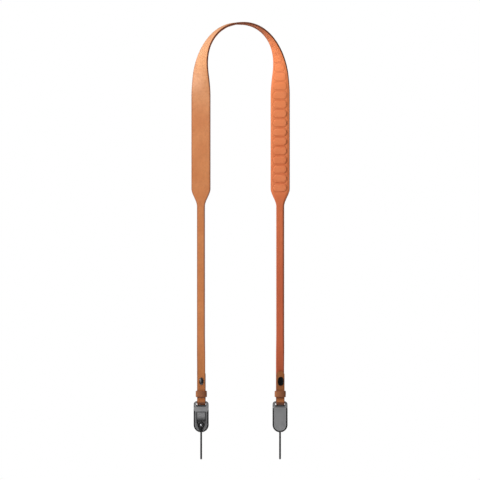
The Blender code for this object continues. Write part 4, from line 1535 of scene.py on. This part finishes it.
@dataclass(frozen=True)
class CordLoop:
    """Thin braided cord loop that leaves the anchor and returns to it.

    The half route is (offset from the loop's middle, drop below the anchor), as the part's source has it.
    """

    diameter: float = 2.2 * MM
    length: float = 83.2 * MM
    middle: float = 1.05 * MM
    top: float = -31.6 * MM
    step: float = 0.26 * MM
    round_points: int = 32
    strands: int = 8
    pitch: float = 5.2 * MM
    half_route: Table = (
        (1.25 * MM, 0.35 * MM),
        (1.25 * MM, 3.0 * MM),
        (1.32 * MM, 6.2 * MM),
        (1.9 * MM, 10.0 * MM),
        (3.0 * MM, 14.5 * MM),
        (4.3 * MM, 19.5 * MM),
        (5.4 * MM, 25.0 * MM),
        (5.9 * MM, 30.0 * MM),
        (5.2 * MM, 34.2 * MM),
        (3.1 * MM, 37.3 * MM),
        (0.0 * MM, 38.5 * MM),
    )

    def route(self) -> Array:
        """Evenly spaced (depth, rise) places on a smooth curve through the chosen ones.

        Between two chosen places the curve is the cubic whose direction at each place points from the place
        before it to the place after it.

        Returns:
            Array of (points, 2) places.
        """
        half = np.array(self.half_route)
        chosen = np.concatenate([half, half[-2::-1] * (-1.0, 1.0)])
        chosen = np.stack([self.middle + chosen[:, 0], self.top - chosen[:, 1]], axis=1)
        padded = np.vstack([2 * chosen[0] - chosen[1], chosen, 2 * chosen[-1] - chosen[-2]])
        first, start, end, last = (padded[k:len(padded) - 3 + k, None, :] for k in range(4))
        share = np.linspace(0.0, 1.0, 24, endpoint=False)[None, :, None]
        square = (2 * first - 5 * start + 4 * end - last) * share ** 2
        cube = (3 * start - first - 3 * end + last) * share ** 3
        dense = 0.5 * (2 * start + (end - first) * share + square + cube)
        dense = np.vstack([dense.reshape(-1, 2), chosen[-1:]])
        length = np.concatenate([[0.0], np.cumsum(np.linalg.norm(np.diff(dense, axis=0), axis=1))])
        even = np.linspace(0.0, length[-1], round(length[-1] / self.step) + 1)
        return np.stack([np.interp(even, length, dense[:, axis]) for axis in (0, 1)], axis=1)

    def build(self, end: End) -> bpy.types.Object:
        """Carries a round section with a braid's relief along the route.

        The radius falls between the strands of two sets of helices, which run opposite ways: it is the
        larger of two cosines of the angle and the length along the cord.

        Args:
            end: The strap end whose anchor it hangs from.

        Returns:
            The cord, dressed.
        """
        route = self.route()
        path = LINE.at_end(end, 0.0 * route[:, 0], route[:, 0], route[:, 1])
        along = np.gradient(path, axis=0)
        along /= np.linalg.norm(along, axis=1)[:, None]
        side = np.array([1.0, 0.0, 0.0])
        up = np.cross(along, side)
        angle = 2.0 * math.pi * np.arange(self.round_points)[None, :] / self.round_points
        distance = (self.step * np.arange(len(path)))[:, None] * 2.0 * math.pi / self.pitch
        half = self.strands / 2
        first = np.cos(half * (angle + distance))
        second = np.cos(half * (angle - distance))
        strand = np.maximum(first, second) * 0.5 + 0.5
        radius = self.diameter / 2 * (0.96 + 0.1 * strand)
        points = path[:, None, :] + radius[..., None] * (
            np.cos(angle)[..., None] * side + np.sin(angle)[..., None] * up[:, None, :]
        )
        cord = tube(f"cord_{end.value}_braid", points, fields={"strand": strand})
        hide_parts(f"cord_loop_{end.value}")
        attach(cord, ROOT_BODY)
        BRAID.dress(cord)
        return cord


# ---------------------------------------------------------------------------
# Studio


@dataclass(frozen=True)
class Softbox:
    """Square area light that is aimed at a place."""

    name: str
    place: Place
    aim: Place
    size: float
    watts: float

    def build(self) -> bpy.types.Object:
        """Makes the light and turns its face towards its aim."""
        data = bpy.data.lights.new(self.name, "AREA")
        data.shape = "SQUARE"
        data.size = self.size
        data.energy = self.watts
        light = bpy.data.objects.new(self.name, data)
        light.location = self.place
        light.visible_camera = False
        light.rotation_euler = (Vector(self.aim) - Vector(self.place)).to_track_quat("-Z", "Y").to_euler()
        bpy.context.scene.collection.objects.link(light)
        return light


@dataclass(frozen=True)
class Studio:
    """Camera, background, floor and lights."""

    frame_width: float = 0.6
    frame_middle: tuple[float, float] = (-0.75 * MM, -268.75 * MM)
    camera_distance: float = 9.0
    sensor: float = 36.0
    floor_height: float = -0.66
    floor_radius: float = 0.34
    floor_points: int = 96
    surround: float = 0.10
    overhead: float = 0.50

    def camera(self) -> bpy.types.Object:
        """Level camera with a long lens, square to the plane of the arch."""
        data = bpy.data.cameras.new("camera")
        data.sensor_width = self.sensor
        data.lens = self.sensor * self.camera_distance / self.frame_width
        camera = bpy.data.objects.new("camera", data)
        across, height = self.frame_middle
        camera.location = (across, -self.camera_distance, height)
        camera.rotation_euler = (math.pi / 2, 0.0, 0.0)
        bpy.context.scene.collection.objects.link(camera)
        bpy.context.scene.camera = camera
        return camera

    def background(self) -> None:
        """White background, and dim surroundings that are brighter above."""
        world = bpy.data.worlds.new("studio")
        world.use_nodes = True
        graph = Graph(world.node_tree)
        direction = graph.node("TexCoord", output="Generated")
        upwards = graph.node("SeparateXYZ", sockets={0: direction}, output="Z")
        level = self.surround + self.overhead * upwards.between(0.05, 0.95)
        seen = graph.node("LightPath", output="Is Camera Ray")
        strength = level + seen * (1.0 - level)
        light = graph.node("Background", sockets={"Color": (1.0, 1.0, 1.0), "Strength": strength})
        graph.node("OutputWorld", sockets={"Surface": light})
        bpy.context.scene.world = world

    def floor(self) -> bpy.types.Object:
        """Pale round floor below the object, out of the camera's view."""
        angle = 2.0 * math.pi * np.arange(self.floor_points) / self.floor_points
        x, y = self.floor_radius * np.cos(angle), self.floor_radius * np.sin(angle)
        rim = np.stack([x, y, np.full_like(angle, self.floor_height)], axis=-1)
        mesh = bpy.data.meshes.new("studio_floor")
        mesh.from_pydata(rim.tolist(), [], [tuple(range(self.floor_points))])
        floor = bpy.data.objects.new("studio_floor", mesh)
        bpy.context.scene.collection.objects.link(floor)
        mesh.materials.append(PAPER.material)
        return floor

    def lights(self) -> None:
        """Key from the left, small lights near arch and ends, and two from behind for sheen and back."""
        Softbox("key", (-2.10, -0.80, 0.45), (0.0, 0.0, -0.28), 0.7, 27.0).build()
        Softbox("top", (-0.30, -0.16, 0.02), (-0.02, 0.0, -0.05), 0.2, 0.6).build()
        Softbox("low", (-0.27, -0.55, -0.42), (0.0, 0.0, -0.38), 0.35, 1.0).build()
        Softbox("rim", (-0.75, 0.28, 0.52), (-0.02, 0.0, -0.03), 0.45, 5.0).build()
        Softbox("back", (1.60, 1.35, -0.10), (0.0, 0.0, -0.28), 0.8, 24.0).build()

    def build(self) -> None:
        """Sets up the whole studio."""
        bpy.context.scene.view_settings.view_transform = "Standard"
        self.camera()
        self.background()
        self.floor()
        self.lights()


def report(piece: bpy.types.Object) -> None:
    """Logs a piece's name and number of faces."""
    log.info("%s: %d faces", piece.name, len(piece.data.polygons))


def main() -> None:
    """Builds the studio, the cords, the strap and both ends, in this order."""
    logging.basicConfig(level=logging.INFO, format="%(message)s")
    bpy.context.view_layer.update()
    Studio().build()
    for end in End:
        report(CordLoop().build(end))
    report(LeatherStrap().build())
    report(PaddedLining().build())
    for end in End:
        report(Keeper().build(end))
        for piece in Stud().build(end):
            report(piece)
        report(Connector().build(end))
        report(Latch().build(end))
        for piece in Anchor().build(end):
            report(piece)


if __name__ == "__main__":
    main()
